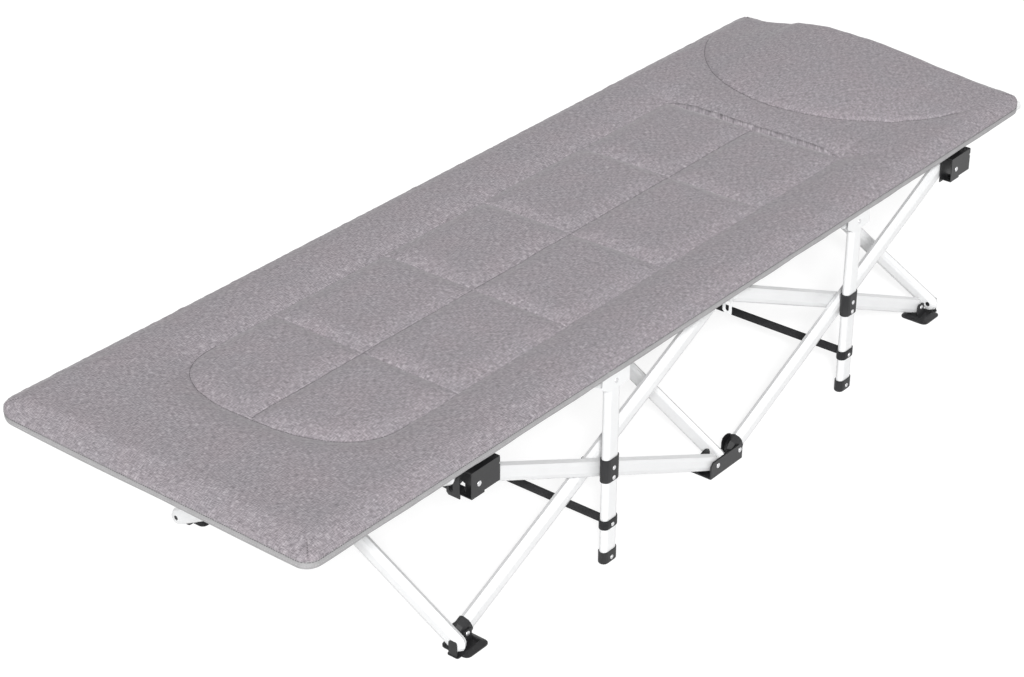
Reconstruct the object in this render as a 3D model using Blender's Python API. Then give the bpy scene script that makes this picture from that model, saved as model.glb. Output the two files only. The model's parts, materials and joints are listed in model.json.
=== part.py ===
# Folding camping cot: a quilted pad on an umbrella-type scissor frame.
# Metres, Z up. The head is towards +X, the left side towards -Y, and the feet stand on Z = 0.
import math

import bmesh
import bpy
from mathutils import Matrix, Vector

for old in list(bpy.data.objects):
    bpy.data.objects.remove(old, do_unlink=True)

# General clearances
GAP = 0.0003
RUN = 0.0005

# Bed, as seen from above; places along it are given for a bed 1.9 m long and move with its length
BED_LENGTH = 1.900
LONG = BED_LENGTH / 1.900
BED_WIDTH = 0.6196
BED_CORNER = 0.022
CLOTH = 0.0012
HEM_DROP = 0.0145
HEM_TUCK = 0.0030
SAG = 0.0150
SEAT_GAP = 0.0009

# Bars
BAR_WIDE = 0.030
BAR_THICK = 0.0182
CROSS_THICK = 0.0180
MID_THICK = 0.0120
SLEEVE_LONG = 0.0300
SLEEVE_WALL = 0.0012
PIN_R = 0.0040
BORE_R = 0.0046

# Frame plan: distances from the frame's own middle, which lies a little towards the head
FRAME_X = 0.052 * LONG
OUTER_PIN_X = 0.640 * LONG
PIN_RISE = 0.2817
CROSS_RISE = PIN_RISE + 0.0168
LEG_IN = 0.0105
PLANE_LEG_Y = BED_WIDTH / 2 - LEG_IN
CROSS_PIN_Y = PLANE_LEG_Y - 0.0083 - BAR_WIDE / 2

# Legs and rails
LEG_WIDE = 0.032
LEG_THICK = 0.0144
LEG_WALL = 0.0013
LEG_FLOOR = 0.0030
CAP_HIGH = 0.021
CAP_WALL = 0.0014
COLLAR_DOWN = 0.01235
COLLAR_HIGH = 0.040
COLLAR_WALL = 0.0016
STRAP_LOW_Z = 0.063
STRAP_HIGH = 0.016
STRAP_THICK = 0.0016
RAIL_WIDE = 0.0140
RAIL_HIGH = 0.0150
RAIL_END_GAP = 0.0065
RAIL_TIP_GAP = 0.0525
HINGE_HALF = 0.0218
HINGE_PIN_R = 0.0034
HINGE_BORE_R = 0.0039
RAIL_PAST_PIN = 0.0070
HINGE_WALL = 0.0014
HINGE_REACH = 0.0330

# Sheet-metal brackets
PLATE = 0.0018
SKIN = 0.0015
SHOE_FLOOR = 0.0024
SHOE_NEAR = 0.0235
SHOE_FAR = 0.0290
SKIRT_HIGH = 0.0064
SKIRT_IN = 0.0085
BOX_LONG = 0.0625
RIVET_R = 0.0042
RIVET_HIGH = 0.0013
LUG = 0.0020
STUB_R = 0.0033
SLOT_R = 0.0038
SLOT_DOWN = 0.0280
SLOT_UP = 0.0072

# Pad
PAD_INSET = 0.0006
RIM_RISE = 0.0016
CROWN = 0.0110
CROWN_WIDE = 0.045
SEAM_RISE = 0.0018
PUFF = 0.0090
PUFF_WIDE = 0.030
CROSS_SEAMS = (-0.4993 * LONG, -0.2439 * LONG, 0.0022 * LONG, 0.2725 * LONG)
HEAD_SEAM = 0.522 * LONG
SIDE_SEAM = BED_WIDTH / 2 - 0.1268
FOOT_SEAM = -0.7256 * LONG
FOOT_SEAM_R = 0.145 * LONG
FOOT_LINE = -0.715 * LONG
PILLOW_AT = (0.820 * LONG, 0.000)
PILLOW_HALF = (0.215 * LONG, BED_WIDTH / 2 - 0.0478)
PILLOW_HIGH = 0.043
PILLOW_SOFT = 1.15

# Derived places, from the floor and the rails inwards
SLEEVE_GROW = GAP + SLEEVE_WALL
PIN_LOW_Z = SHOE_FLOOR + 0.0006 + SLEEVE_GROW + BAR_WIDE / 2
PIN_HIGH_Z = PIN_LOW_Z + PIN_RISE
PLANE_OUTER_Y = PLANE_LEG_Y - LEG_THICK / 2 - GAP - COLLAR_WALL - 0.0014 - BAR_THICK / 2
PLANE_INNER_Y = PLANE_OUTER_Y - BAR_THICK - 0.0015
PLANE_CROSS_MID = LUG / 2 + 0.0006 + MID_THICK / 2
INNER_PIN_X = PLANE_CROSS_MID + MID_THICK / 2 + 0.0009 + SLEEVE_GROW + BAR_WIDE / 2
CROSSING_U = (OUTER_PIN_X + INNER_PIN_X) / 2
CROSSING_Z = PIN_LOW_Z + PIN_RISE / 2
CROSS_LENGTH = math.hypot(2 * CROSS_PIN_Y, CROSS_RISE)
CROSS_HIGH_Z = PIN_LOW_Z + CROSS_RISE
CROSS_MID_Z = PIN_LOW_Z + CROSS_RISE / 2
LEG_TOP_Z = PIN_HIGH_Z + 0.0278
COLLAR_LOW_Z = CROSSING_Z - COLLAR_DOWN
COLLAR_HIGH_Z = COLLAR_LOW_Z + COLLAR_HIGH
HINGE_LOW_Z = PIN_HIGH_Z + 0.0088
HINGE_PIN_Z = PIN_HIGH_Z + 0.0373
HINGE_TOP_Z = PIN_HIGH_Z + 0.0428
RAIL_LOW_Z = PIN_HIGH_Z + 0.0353
RAIL_HIGH_Z = RAIL_LOW_Z + RAIL_HIGH
SUPPORT_Z = RAIL_LOW_Z - GAP
CLOTH_LOW_Z = RAIL_HIGH_Z + GAP
CLOTH_HIGH_Z = CLOTH_LOW_Z + CLOTH
HEM_LOW_Z = CLOTH_HIGH_Z - HEM_DROP
SEAM_Z = RAIL_HIGH_Z + SEAM_RISE
INNER_FACE_Y = PLANE_INNER_Y - BAR_THICK / 2
OUTER_FACE_Y = PLANE_OUTER_Y + BAR_THICK / 2
FLANGE_IN_Y = CROSS_PIN_Y + BAR_WIDE / 2 + 0.0004
FLANGE_OUT_Y = FLANGE_IN_Y + PLATE
SHOE_IN_Y = INNER_FACE_Y - 0.0069
SHOE_OUT_Y = PLANE_LEG_Y - 0.0018
HUB_IN_Y = INNER_FACE_Y + 0.0006
HUB_OUT_Y = OUTER_FACE_Y + 0.0060
HUB_TOP_Z = PIN_LOW_Z + 0.0108
HUB_NEAR = INNER_PIN_X + 0.0075
HUB_FAR = INNER_PIN_X + 0.0185
TOP_SHELF_HALF = INNER_PIN_X + 0.0090
BOX_LOW_Z = PIN_HIGH_Z - 0.0196
BOX_HIGH_Z = PIN_HIGH_Z + 0.0240
BOX_OUT_Y = BED_WIDTH / 2 - 0.0017
PLANE_CROSS_NEAR = OUTER_PIN_X + BAR_WIDE / 2 + SLEEVE_GROW + 0.0008 + CROSS_THICK / 2
LUG_IN_U = PLANE_CROSS_NEAR + CROSS_THICK / 2 + GAP
LUG_OUT_U = LUG_IN_U + LUG
PLANE_CROSS_FAR = LUG_OUT_U + 0.0006 + CROSS_THICK / 2
LEG_FLAT = (LEG_WIDE - LEG_THICK) / 2
RAIL_OUT_Y = PLANE_LEG_Y + RAIL_WIDE / 2
# The rail stops where its outer side would meet the inside of the cloth's rounded corner.
CORNER_Y = RAIL_OUT_Y - (BED_WIDTH / 2 - BED_CORNER)
CORNER_ROOM = math.sqrt((BED_CORNER - CLOTH) ** 2 - CORNER_Y**2)
RAIL_END_X = BED_LENGTH / 2 - BED_CORNER + CORNER_ROOM - RAIL_END_GAP

SIDES = (("left", -1), ("right", 1))
ENDS = (("foot", -1), ("head", 1))


def collection(name, hidden=False):
    made = bpy.data.collections.new(name)
    bpy.context.scene.collection.children.link(made)
    made.hide_render = hidden
    return made


COT = collection("camping_cot")
GUIDES = collection("guides", hidden=True)


def material(name, colour, roughness, metallic=0.0):
    made = bpy.data.materials.new(name)
    made.use_nodes = True
    shader = made.node_tree.nodes["Principled BSDF"]
    shader.inputs["Base Color"].default_value = (*colour, 1)
    shader.inputs["Roughness"].default_value = roughness
    shader.inputs["Metallic"].default_value = metallic
    made.diffuse_color = (*colour, 1)
    return made


LOOKS = {
    "tube": ((0.86, 0.87, 0.88), 0.35, 0.15),
    "bracket": ((0.018, 0.018, 0.020), 0.45, 0.2),
    "plastic": ((0.014, 0.014, 0.015), 0.5, 0.0),
    "webbing": ((0.020, 0.020, 0.022), 0.9, 0.0),
    "band": ((0.42, 0.42, 0.42), 0.9, 0.0),
    "quilt": ((0.36, 0.33, 0.34), 0.95, 0.0),
}


# Solids are (points, faces) in the shared frame until a piece takes them to its own origin.
def loft(rings):
    count = len(rings[0])
    points = [p for ring in rings for p in ring]
    faces = [tuple(range(count))[::-1]]
    for k in range(len(rings) - 1):
        for i in range(count):
            j = (i + 1) % count
            a = k * count
            faces.append((a + i, a + j, a + count + j, a + count + i))
    last = (len(rings) - 1) * count
    faces.append(tuple(range(last, last + count)))
    return points, faces


def prism(outline, axis, low, high):
    """An outline in (x, z), (y, z) or (x, y), drawn out along the third axis."""
    put = {
        "X": lambda a, b, t: (t, a, b),
        "Y": lambda a, b, t: (a, t, b),
        "Z": lambda a, b, t: (a, b, t),
    }[axis]
    return loft([[put(a, b, t) for a, b in outline] for t in (low, high)])


def block(x0, x1, y0, y1, z0, z1):
    return prism([(x0, y0), (x1, y0), (x1, y1), (x0, y1)], "Z", z0, z1)


def circle_rings(start, axis, stations, count):
    """Rings of the given radii at the given distances along axis from start."""
    axis = Vector(axis).normalized()
    side = axis.orthogonal().normalized()
    other = axis.cross(side)
    rings = []
    for along, radius in stations:
        centre = Vector(start) + axis * along
        ring = []
        for i in range(count):
            t = 2 * math.pi * (i + 0.5) / count
            ring.append(tuple(centre + radius * (math.cos(t) * side + math.sin(t) * other)))
        rings.append(ring)
    return rings


def rod(start, axis, radius, length, count=10):
    return loft(circle_rings(start, axis, ((0, radius), (length, radius)), count))


def rivet(start, axis, radius=RIVET_R, high=RIVET_HIGH, count=8):
    """A domed head; its foot is sunk a little into the plate that it stands on."""
    sunk = -0.0006
    stations = ((sunk, radius), (0.45 * high, radius), (high, 0.60 * radius))
    return loft(circle_rings(start, axis, stations, count))


def rounded(x0, x1, y0, y1, radius, steps=4):
    """A rectangle with rounded corners."""
    corners = (
        (x1 - radius, y1 - radius, 0),
        (x0 + radius, y1 - radius, 90),
        (x0 + radius, y0 + radius, 180),
        (x1 - radius, y0 + radius, 270),
    )
    outline = []
    for cx, cy, start in corners:
        for k in range(steps + 1):
            t = math.radians(start + 90 * k / steps)
            outline.append((cx + radius * math.cos(t), cy + radius * math.sin(t)))
    return outline


def oval(cx, cy, half_flat, radius, steps=8):
    """A flat oval: two half circles joined by straight sides along x."""
    outline = []
    for k in range(steps + 1):
        t = math.radians(-90 + 180 * k / steps)
        outline.append((cx + half_flat + radius * math.cos(t), cy + radius * math.sin(t)))
    for k in range(steps + 1):
        t = math.radians(90 + 180 * k / steps)
        outline.append((cx - half_flat + radius * math.cos(t), cy + radius * math.sin(t)))
    return outline


def placed(solid, sx=1, sy=1):
    """From (distance out from the frame's middle, distance out, height) to the shared frame."""
    points, faces = solid
    moved = [(FRAME_X + sx * x, sy * y, z) for x, y, z in points]
    return moved, faces


def make_mesh(name, solid, inverse, smooth_from=0):
    points, faces = solid
    mesh = bpy.data.meshes.new(name)
    mesh.from_pydata([inverse @ Vector(p) for p in points], [], faces)
    work = bmesh.new()
    work.from_mesh(mesh)
    bmesh.ops.recalc_face_normals(work, faces=work.faces)
    for edge in work.edges:
        edge.smooth = edge.calc_face_angle(0) < math.radians(38)
    for face in work.faces:
        face.smooth = True
    work.to_mesh(mesh)
    work.free()
    return mesh


def piece(name, look, origin, solids, cuts=(), turn=None):
    """One named object: the first solid joined by the others, less the cuts."""
    frame = Matrix.Translation(origin) @ (turn or Matrix.Identity(4))
    inverse = frame.inverted()
    made = bpy.data.objects.new(name, make_mesh(name, solids[0], inverse))
    COT.objects.link(made)
    made.matrix_world = frame
    colour, roughness, metallic = LOOKS[look]
    made.data.materials.append(material(f"{name}_{look}", colour, roughness, metallic))
    for kind, others in (("UNION", solids[1:]), ("DIFFERENCE", cuts)):
        if not others:
            continue
        tools = bpy.data.collections.new(f"{name}_{kind.lower()}")
        GUIDES.children.link(tools)
        for count, other in enumerate(others):
            label = f"{name}_{kind.lower()}_{count}"
            tool = bpy.data.objects.new(label, make_mesh(label, other, inverse))
            tools.objects.link(tool)
            tool.matrix_world = frame
            tool.hide_render = True
            tool.display_type = "WIRE"
        change = made.modifiers.new(kind.title(), "BOOLEAN")
        change.operation = kind
        change.operand_type = "COLLECTION"
        change.collection = tools
        change.solver = "EXACT"
    return made


# Scissor bars: flat-oval tubes with full-round ends about their end pins
def bar_solid(start, end, thick_axis, thick, grow=0.0):
    start, end, out = Vector(start), Vector(end), Vector(thick_axis)
    along = (end - start).normalized()
    up = along.cross(out)
    edge = thick / 2 + grow
    core = BAR_WIDE / 2 + grow - edge
    rings = []
    for t in (-90, -52, 0, 52, 90):
        offset = edge * math.sin(math.radians(t))
        radius = core + edge * math.cos(math.radians(t))
        ring = []
        for centre, first in ((end, -90), (start, 90)):
            for k in range(8):
                a = math.radians(first + 180 * k / 7)
                p = centre + radius * (math.cos(a) * along + math.sin(a) * up)
                ring.append(tuple(p + out * offset))
        rings.append(ring)
    return loft(rings)


def bar(name, start, end, origin, thick_axis, thick, bores, extras=()):
    start, end, out = Vector(start), Vector(end), Vector(thick_axis)
    along = (end - start).normalized()
    up = along.cross(out)
    turn = Matrix((along, out, up)).transposed().to_4x4()
    cuts = [rod(Vector(b) - out * thick, out, BORE_R, 2 * thick) for b in bores]
    solids = [bar_solid(start, end, out, thick), *extras]
    return piece(name, "tube", origin, solids, cuts, turn)


def sleeve(name, pin, far, origin):
    """A moulded cap pushed over the lower end of a bar that rises to the head."""
    pin, far, out = Vector(pin), Vector(far), Vector((0, 1, 0))
    along = (far - pin).normalized()
    up = along.cross(out)
    turn = Matrix((along, out, up)).transposed().to_4x4()
    stop = pin + along * (SLEEVE_LONG - BAR_WIDE / 2)
    near = pin + along * SLEEVE_LONG
    half = BAR_WIDE
    slab = [stop + along * a + up * b for a, b in ((0, -half), (0.1, -half), (0.1, half), (0, half))]
    ends = [[tuple(p + out * w) for p in slab] for w in (-half, half)]
    cuts = [
        bar_solid(pin, near, out, BAR_THICK, GAP),
        rod(pin - out * half, out, BORE_R, 2 * half),
        loft(ends),
    ]
    piece(name, "plastic", origin, [bar_solid(pin, near, out, BAR_THICK, SLEEVE_GROW)], cuts, turn)


def side_bars(side, sy, end, sx):
    def at(u, v, z):
        return Vector((FRAME_X + sx * u, sy * v, z))

    low_in = at(INNER_PIN_X, PLANE_OUTER_Y, PIN_LOW_Z)
    high_out = at(OUTER_PIN_X, PLANE_OUTER_Y, PIN_HIGH_Z)
    mid = at(CROSSING_U, PLANE_OUTER_Y, CROSSING_Z)
    bar(
        f"{side}_{end}_bar_outer",
        low_in,
        high_out,
        low_in,
        (0, 1, 0),
        BAR_THICK,
        (low_in, mid, high_out),
    )
    low_out = at(OUTER_PIN_X, PLANE_INNER_Y, PIN_LOW_Z)
    high_in = at(INNER_PIN_X, PLANE_INNER_Y, PIN_HIGH_Z)
    mid = at(CROSSING_U, PLANE_INNER_Y, CROSSING_Z)
    bar(
        f"{side}_{end}_bar_inner",
        low_out,
        high_in,
        mid,
        (0, 1, 0),
        BAR_THICK,
        (low_out, mid, high_in),
    )
    if sx < 0:
        sleeve(f"{side}_{end}_bar_inner_sleeve", low_out, high_in, mid)
    else:
        sleeve(f"{side}_{end}_bar_outer_sleeve", low_in, high_out, low_in)


def cross_bars(where, x_a, x_b, out, head_gap, thick):
    """Bar a rises from the left, bar b from the right; out is the way from a's plane to b's."""
    reach = abs(x_b - x_a)
    half = thick / 2
    for tag, x, sy in (("a", x_a, -1), ("b", x_b, 1)):
        low = Vector((x, sy * CROSS_PIN_Y, PIN_LOW_Z))
        high = Vector((x, -sy * CROSS_PIN_Y, CROSS_HIGH_Z))
        mid = Vector((x, 0, CROSS_MID_Z))
        to_lug = Vector((out if tag == "a" else -out, 0, 0))
        lug_far = half + (reach - thick) / 2 + LUG / 2 + head_gap
        stub_start = high + to_lug * (half - 0.0017)
        stub = rod(stub_start, to_lug, STUB_R, lug_far - half + 0.0022)
        head = rod(high + to_lug * lug_far, to_lug, 0.0052, 0.0014)
        extras = [stub, head]
        bores = [low]
        if tag == "a":
            pin_end = reach + half + 0.0006
            extras.append(rod(mid + to_lug * (half - 0.0017), to_lug, PIN_R, pin_end - half + 0.0023))
            extras.append(rod(mid + to_lug * pin_end, to_lug, 0.0065, 0.0016))
        else:
            bores.append(mid)
        origin = low if tag == "a" else mid
        name = f"{where}_cross_bar_{tag}"
        bar(name, low, high, origin, (1, 0, 0), thick, bores, extras)


# Brackets
def lug_prism(u0, u1, out_v, z0, z1):
    half = 0.0082
    low_v = CROSS_PIN_Y - half
    cut = 0.004
    outline = [
        (low_v, z0 + cut),
        (low_v + cut, z0),
        (out_v, z0),
        (out_v, z1),
        (low_v + cut, z1),
        (low_v, z1 - cut),
    ]
    return prism(outline, "X", u0, u1)


def slot_cut(u0, u1):
    low = CROSS_HIGH_Z - SLOT_DOWN - STUB_R - RUN + SLOT_R
    high = CROSS_HIGH_Z + SLOT_UP + STUB_R + RUN - SLOT_R
    flat = (high - low) / 2
    middle = (high + low) / 2
    outline = [(v, z) for z, v in oval(middle, CROSS_PIN_Y, flat, SLOT_R, 5)]
    return prism(outline, "X", u0 - 0.001, u1 + 0.001)


def upright(u, half, low, top, corner=0.0035):
    """Outline of an ear with a rounded top, as points along and up."""
    points = [(u - half, low), (u + half, low)]
    for k in range(3):
        t = math.radians(45 * k)
        points.append((u + half - corner * (1 - math.cos(t)), top - corner * (1 - math.sin(t))))
    for k in range(3):
        t = math.radians(45 * k)
        points.append((u - half + corner * (1 - math.sin(t)), top - corner * (1 - math.cos(t))))
    return points


def skirt(u0, u1, v0, v1):
    """Foot pad with a wide bottom, sloping sides and a flat top rim."""
    rings = []
    for z, inset, corner in (
        (0.0, 0.0, 0.0090),
        (0.0022, 0.0, 0.0090),
        (SKIRT_HIGH, SKIRT_IN, 0.0042),
    ):
        outline = rounded(u0 + inset, u1 - inset, v0 + inset, v1 - inset, corner, 3)
        rings.append([(u, v, z) for u, v in outline])
    return loft(rings)


def shoe(side, sy, end, sx):
    pin = OUTER_PIN_X
    wall = 0.0026
    low = SHOE_FLOOR - 0.0008
    inner = INNER_FACE_Y - SLEEVE_GROW - RUN - wall
    outer = PLANE_INNER_Y + BAR_THICK / 2 + SLEEVE_GROW + RUN
    cheek = upright(pin, 0.0095, low, PIN_LOW_Z + 0.0068)
    tab = rounded(pin + 0.012, LUG_OUT_U + 0.0006, CROSS_PIN_Y - 0.0105, CROSS_PIN_Y + 0.0105, 0.003, 3)
    lug = upright(CROSS_PIN_Y, 0.0078, low, PIN_LOW_Z + 0.0072)
    pin_v = inner + 0.001
    pin_long = outer + wall - 0.001 - pin_v
    start_u = LUG_IN_U + 0.001 if sy < 0 else LUG_OUT_U - 0.001
    toward = -1 if sy < 0 else 1
    solids = [
        skirt(pin - SHOE_NEAR, pin + SHOE_FAR, SHOE_IN_Y, SHOE_OUT_Y),
        prism(tab, "Z", 0.0004, SHOE_FLOOR),
        prism(cheek, "Y", inner, inner + wall),
        prism(cheek, "Y", outer, outer + wall),
        rod((pin, pin_v, PIN_LOW_Z), (0, 1, 0), PIN_R, pin_long),
        prism(lug, "X", LUG_IN_U, LUG_OUT_U),
        rod((start_u, CROSS_PIN_Y, PIN_LOW_Z), (toward, 0, 0), PIN_R, CROSS_THICK + 0.0008),
        rivet((pin, outer + wall, PIN_LOW_Z), (0, 1, 0)),
    ]
    origin = (FRAME_X + sx * pin, sy * PLANE_INNER_Y, PIN_LOW_Z)
    made = piece(f"{side}_{end}_shoe", "plastic", origin, [placed(s, sx, sy) for s in solids])
    well = BAR_WIDE / 2 + SLEEVE_GROW + 0.0006
    side_well = rod((pin, inner + 0.0002, PIN_LOW_Z), (0, 1, 0), well, outer + wall - inner - 0.0004, 16)
    far_well = PLANE_CROSS_NEAR - CROSS_THICK / 2 - 0.0004
    cross_well = rod((far_well, CROSS_PIN_Y, PIN_LOW_Z), (1, 0, 0), BAR_WIDE / 2 + 0.0006, 0.03, 16)
    floor_in, floor_out = SHOE_IN_Y + 0.0100, SHOE_OUT_Y - 0.0110
    floor = block(pin - SHOE_NEAR + 0.0115, far_well + 0.0010, floor_in, floor_out, SHOE_FLOOR, 0.02)
    for cut in (side_well, cross_well, floor):
        add_cut(made, placed(cut, sx, sy))


def hub_low(side, sy):
    near, far = (HUB_NEAR, HUB_FAR) if sy < 0 else (HUB_FAR, HUB_NEAR)
    plate_in = HUB_OUT_Y - 0.0028
    top = HUB_TOP_Z
    outline = [
        (-far, 0.001),
        (near, 0.001),
        (near, top - 0.008),
        (near - 0.008, top),
        (-far + 0.006, top),
        (-far, top - 0.006),
    ]
    inner_v = PLANE_OUTER_Y - BAR_THICK / 2 - SLEEVE_GROW - RUN - 0.0022
    solids = [
        prism(outline, "Y", plate_in, HUB_OUT_Y),
        block(-far, near, HUB_IN_Y, plate_in + 0.001, 0, SHOE_FLOOR),
    ]
    for sx in (-1, 1):
        u = sx * INNER_PIN_X
        half = 0.0135
        ear = upright(u, half, SHOE_FLOOR - 0.0008, PIN_LOW_Z + 0.0190, 0.0095)
        solids.append(prism(ear, "Y", inner_v, inner_v + 0.0022))
        start = (u, inner_v + 0.001, PIN_LOW_Z)
        solids.append(rod(start, (0, 1, 0), PIN_R, plate_in + 0.001 - inner_v - 0.001))
        solids.append(rivet((u, HUB_OUT_Y, PIN_LOW_Z), (0, 1, 0)))
    toward = -1 if sy < 0 else 1
    start = (-toward * (LUG / 2 - 0.0006), CROSS_PIN_Y, PIN_LOW_Z)
    solids += [
        lug_prism(-LUG / 2, LUG / 2, plate_in + 0.0006, SHOE_FLOOR - 0.0008, PIN_LOW_Z + 0.0085),
        rod(start, (toward, 0, 0), PIN_R, MID_THICK + LUG - 0.0002),
    ]
    origin = (FRAME_X, sy * PLANE_OUTER_Y, PIN_LOW_Z)
    piece(f"{side}_mid_hub_low", "plastic", origin, [placed(s, 1, sy) for s in solids])


def hub_top(side, sy):
    """A white channel hidden under the rails: a shelf, two hangers behind the bars and a slotted lug."""
    half = TOP_SHELF_HALF
    low_z = PIN_HIGH_Z - 0.0100
    under = SUPPORT_Z - 0.0030
    notch = PLANE_CROSS_MID + MID_THICK / 2 + 0.0012
    inner_v = INNER_FACE_Y - 0.0030
    lip = PLANE_LEG_Y + RAIL_WIDE / 2 - 0.0010
    web = [
        (-half, inner_v),
        (-notch, inner_v),
        (-notch, FLANGE_IN_Y),
        (notch, FLANGE_IN_Y),
        (notch, inner_v),
        (half, inner_v),
        (half, lip),
        (-half, lip),
    ]
    bar_out = PLANE_INNER_Y + BAR_THICK / 2
    solids = [
        prism(web, "Z", under, SUPPORT_Z),
        block(-notch, notch, FLANGE_IN_Y - 0.0002, FLANGE_OUT_Y, under - 0.0070, under + 0.0008),
        lug_prism(-LUG / 2, LUG / 2, CROSS_PIN_Y + 0.0082, CROSS_HIGH_Z - 0.0350, CROSS_HIGH_Z + 0.0130),
        block(-LUG / 2, LUG / 2, CROSS_PIN_Y - 0.0042, FLANGE_OUT_Y - 0.0004, under - 0.0064, under + 0.0016),
    ]
    for sx in (-1, 1):
        u = sx * INNER_PIN_X
        low = sorted((sx * (notch + 0.0004), sx * (half - 0.0004)))
        ear = [
            (low[0], low_z + 0.004),
            (low[0] + 0.004, low_z),
            (low[1] - 0.004, low_z),
            (low[1], low_z + 0.004),
            (low[1], under + 0.0008),
            (low[0], under + 0.0008),
        ]
        solids.append(prism(ear, "Y", inner_v + 0.0004, inner_v + 0.0022))
        start = (u, inner_v + 0.0014, PIN_HIGH_Z)
        solids.append(rod(start, (0, 1, 0), PIN_R, bar_out + RUN + 0.0008 - inner_v - 0.0014))
        solids.append(rod((u, bar_out + RUN, PIN_HIGH_Z), (0, 1, 0), 0.0062, 0.0014))
    cuts = [slot_cut(-LUG / 2, LUG / 2)]
    origin = (FRAME_X, sy * PLANE_INNER_Y, PIN_HIGH_Z)
    put = [placed(s, 1, sy) for s in solids]
    piece(f"{side}_mid_hub_top", "tube", origin, put, [placed(c, 1, sy) for c in cuts])


def top_bracket(side, sy, end, sx):
    """One pressed part; it points the same way at the foot and head, so its box lies inboard or outboard."""
    inboard = sx * sy > 0
    pin = OUTER_PIN_X
    rivet_u = pin + (0.0136 if inboard else 0.0150)
    way = -1 if inboard else 1

    def u(along):
        return rivet_u + way * along

    box_a, box_b = sorted((u(-0.0164), u(-0.0164 + BOX_LONG)))
    outer_in = BOX_OUT_Y - SKIN
    free = 0.0125
    steep = math.atan2(PIN_RISE, OUTER_PIN_X - INNER_PIN_X) + math.radians(46)
    drop = PIN_HIGH_Z - BOX_LOW_Z - SKIN
    strip_in = pin - drop / math.tan(steep) + BAR_WIDE / 2 / math.sin(steep) + 0.0008
    strip_out = PLANE_CROSS_NEAR - CROSS_THICK / 2 - 0.0008
    inner_v = PLANE_OUTER_Y - BAR_THICK / 2 - 0.0030
    face = [
        (u(-0.0164), BOX_LOW_Z),
        (u(0.0116), BOX_LOW_Z),
        (u(0.0116), BOX_LOW_Z + 0.0032),
        (u(0.0461), BOX_LOW_Z + 0.0032),
        (u(0.0461), PIN_HIGH_Z + 0.0098),
        (u(0.0441), PIN_HIGH_Z + 0.0110),
        (u(0.0441), PIN_HIGH_Z + 0.0133),
        (u(0.0461), PIN_HIGH_Z + 0.0143),
        (u(0.0461), BOX_HIGH_Z - 0.002),
        (u(0.0441), BOX_HIGH_Z),
        (u(-0.0164), BOX_HIGH_Z),
    ]
    shelf = (pin - 0.0350, LUG_IN_U - 0.0120) if inboard else (pin - 0.0040, LUG_OUT_U + 0.0174)
    flange_out = LUG_OUT_U if inboard else LUG_OUT_U + 0.0124
    step = LUG_IN_U - 0.0111
    high = PIN_HIGH_Z + 0.0278
    tongue = [(flange_out, BOX_LOW_Z)]
    if inboard:
        tongue = [(step, PIN_HIGH_Z - 0.0012), (flange_out, PIN_HIGH_Z + 0.0138)]
    flange = [
        (pin - free, BOX_LOW_Z),
        (step if inboard else strip_out, BOX_LOW_Z),
        *tongue,
        (flange_out, high),
        (shelf[1], high + 0.0020),
        (shelf[1], SUPPORT_Z),
        (shelf[0], SUPPORT_Z),
        (shelf[0], high),
        (pin - free, high - 0.0100 if inboard else high),
    ]
    low_a, low_b = sorted((u(-0.0164), u(0.0091)))
    solids = [
        prism(face, "Y", outer_in, BOX_OUT_Y),
        prism(flange, "Y", FLANGE_IN_Y, FLANGE_OUT_Y),
        block(box_a, box_b, FLANGE_OUT_Y - 0.0008, BOX_OUT_Y - 0.0004, BOX_HIGH_Z - SKIN, BOX_HIGH_Z),
        block(low_a, low_b, FLANGE_OUT_Y - 0.0008, BOX_OUT_Y - 0.0004, BOX_LOW_Z, BOX_LOW_Z + SKIN),
        block(*shelf, FLANGE_IN_Y + 0.0004, PLANE_LEG_Y + RAIL_WIDE / 2 - 0.001, SUPPORT_Z - SKIN, SUPPORT_Z),
        block(strip_in, strip_out, inner_v + 0.0004, FLANGE_IN_Y + 0.0008, BOX_LOW_Z, BOX_LOW_Z + SKIN),
        prism(
            [
                (pin - free, PIN_HIGH_Z - 0.008),
                (pin - free + 0.006, PIN_HIGH_Z - 0.012),
                (strip_in, BOX_LOW_Z + 0.0006),
                (strip_out, BOX_LOW_Z + 0.0006),
                (strip_out, PIN_HIGH_Z + 0.008),
                (strip_out - 0.005, PIN_HIGH_Z + 0.012),
                (pin - free + 0.004, PIN_HIGH_Z + 0.012),
                (pin - free, PIN_HIGH_Z + 0.008),
            ],
            "Y",
            inner_v,
            inner_v + 0.0022,
        ),
        rod((pin, inner_v + 0.001, PIN_HIGH_Z), (0, 1, 0), PIN_R, FLANGE_IN_Y - inner_v),
        lug_prism(LUG_IN_U, LUG_OUT_U, FLANGE_IN_Y + 0.0008, CROSS_HIGH_Z - 0.0380, CROSS_HIGH_Z + 0.0155),
        rivet((rivet_u, BOX_OUT_Y, PIN_HIGH_Z + 0.0002), (0, 1, 0)),
        rivet((u(0.0144), FLANGE_OUT_Y, PIN_HIGH_Z + 0.0183), (0, 1, 0), 0.0038),
    ]
    if inboard and sy < 0:
        far_in = PLANE_OUTER_Y - BAR_THICK / 2 - 0.0024
        tray_in, tray_out, tray_top = INNER_FACE_Y + 0.0036, FLANGE_IN_Y + 0.0008, BOX_LOW_Z + SKIN
        solids.append(block(low_a, low_b, tray_in, far_in, BOX_LOW_Z, tray_top))
        solids.append(block(strip_out - 0.001, low_b, far_in - 0.001, tray_out, BOX_LOW_Z, tray_top))
    cuts = [slot_cut(LUG_IN_U, LUG_OUT_U)]
    origin = (FRAME_X + sx * pin, sy * PLANE_OUTER_Y, PIN_HIGH_Z)
    put = [placed(s, sx, sy) for s in solids]
    name = f"{side}_{end}_top_bracket"
    piece(name, "bracket", origin, put, [placed(c, sx, sy) for c in cuts])


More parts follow.
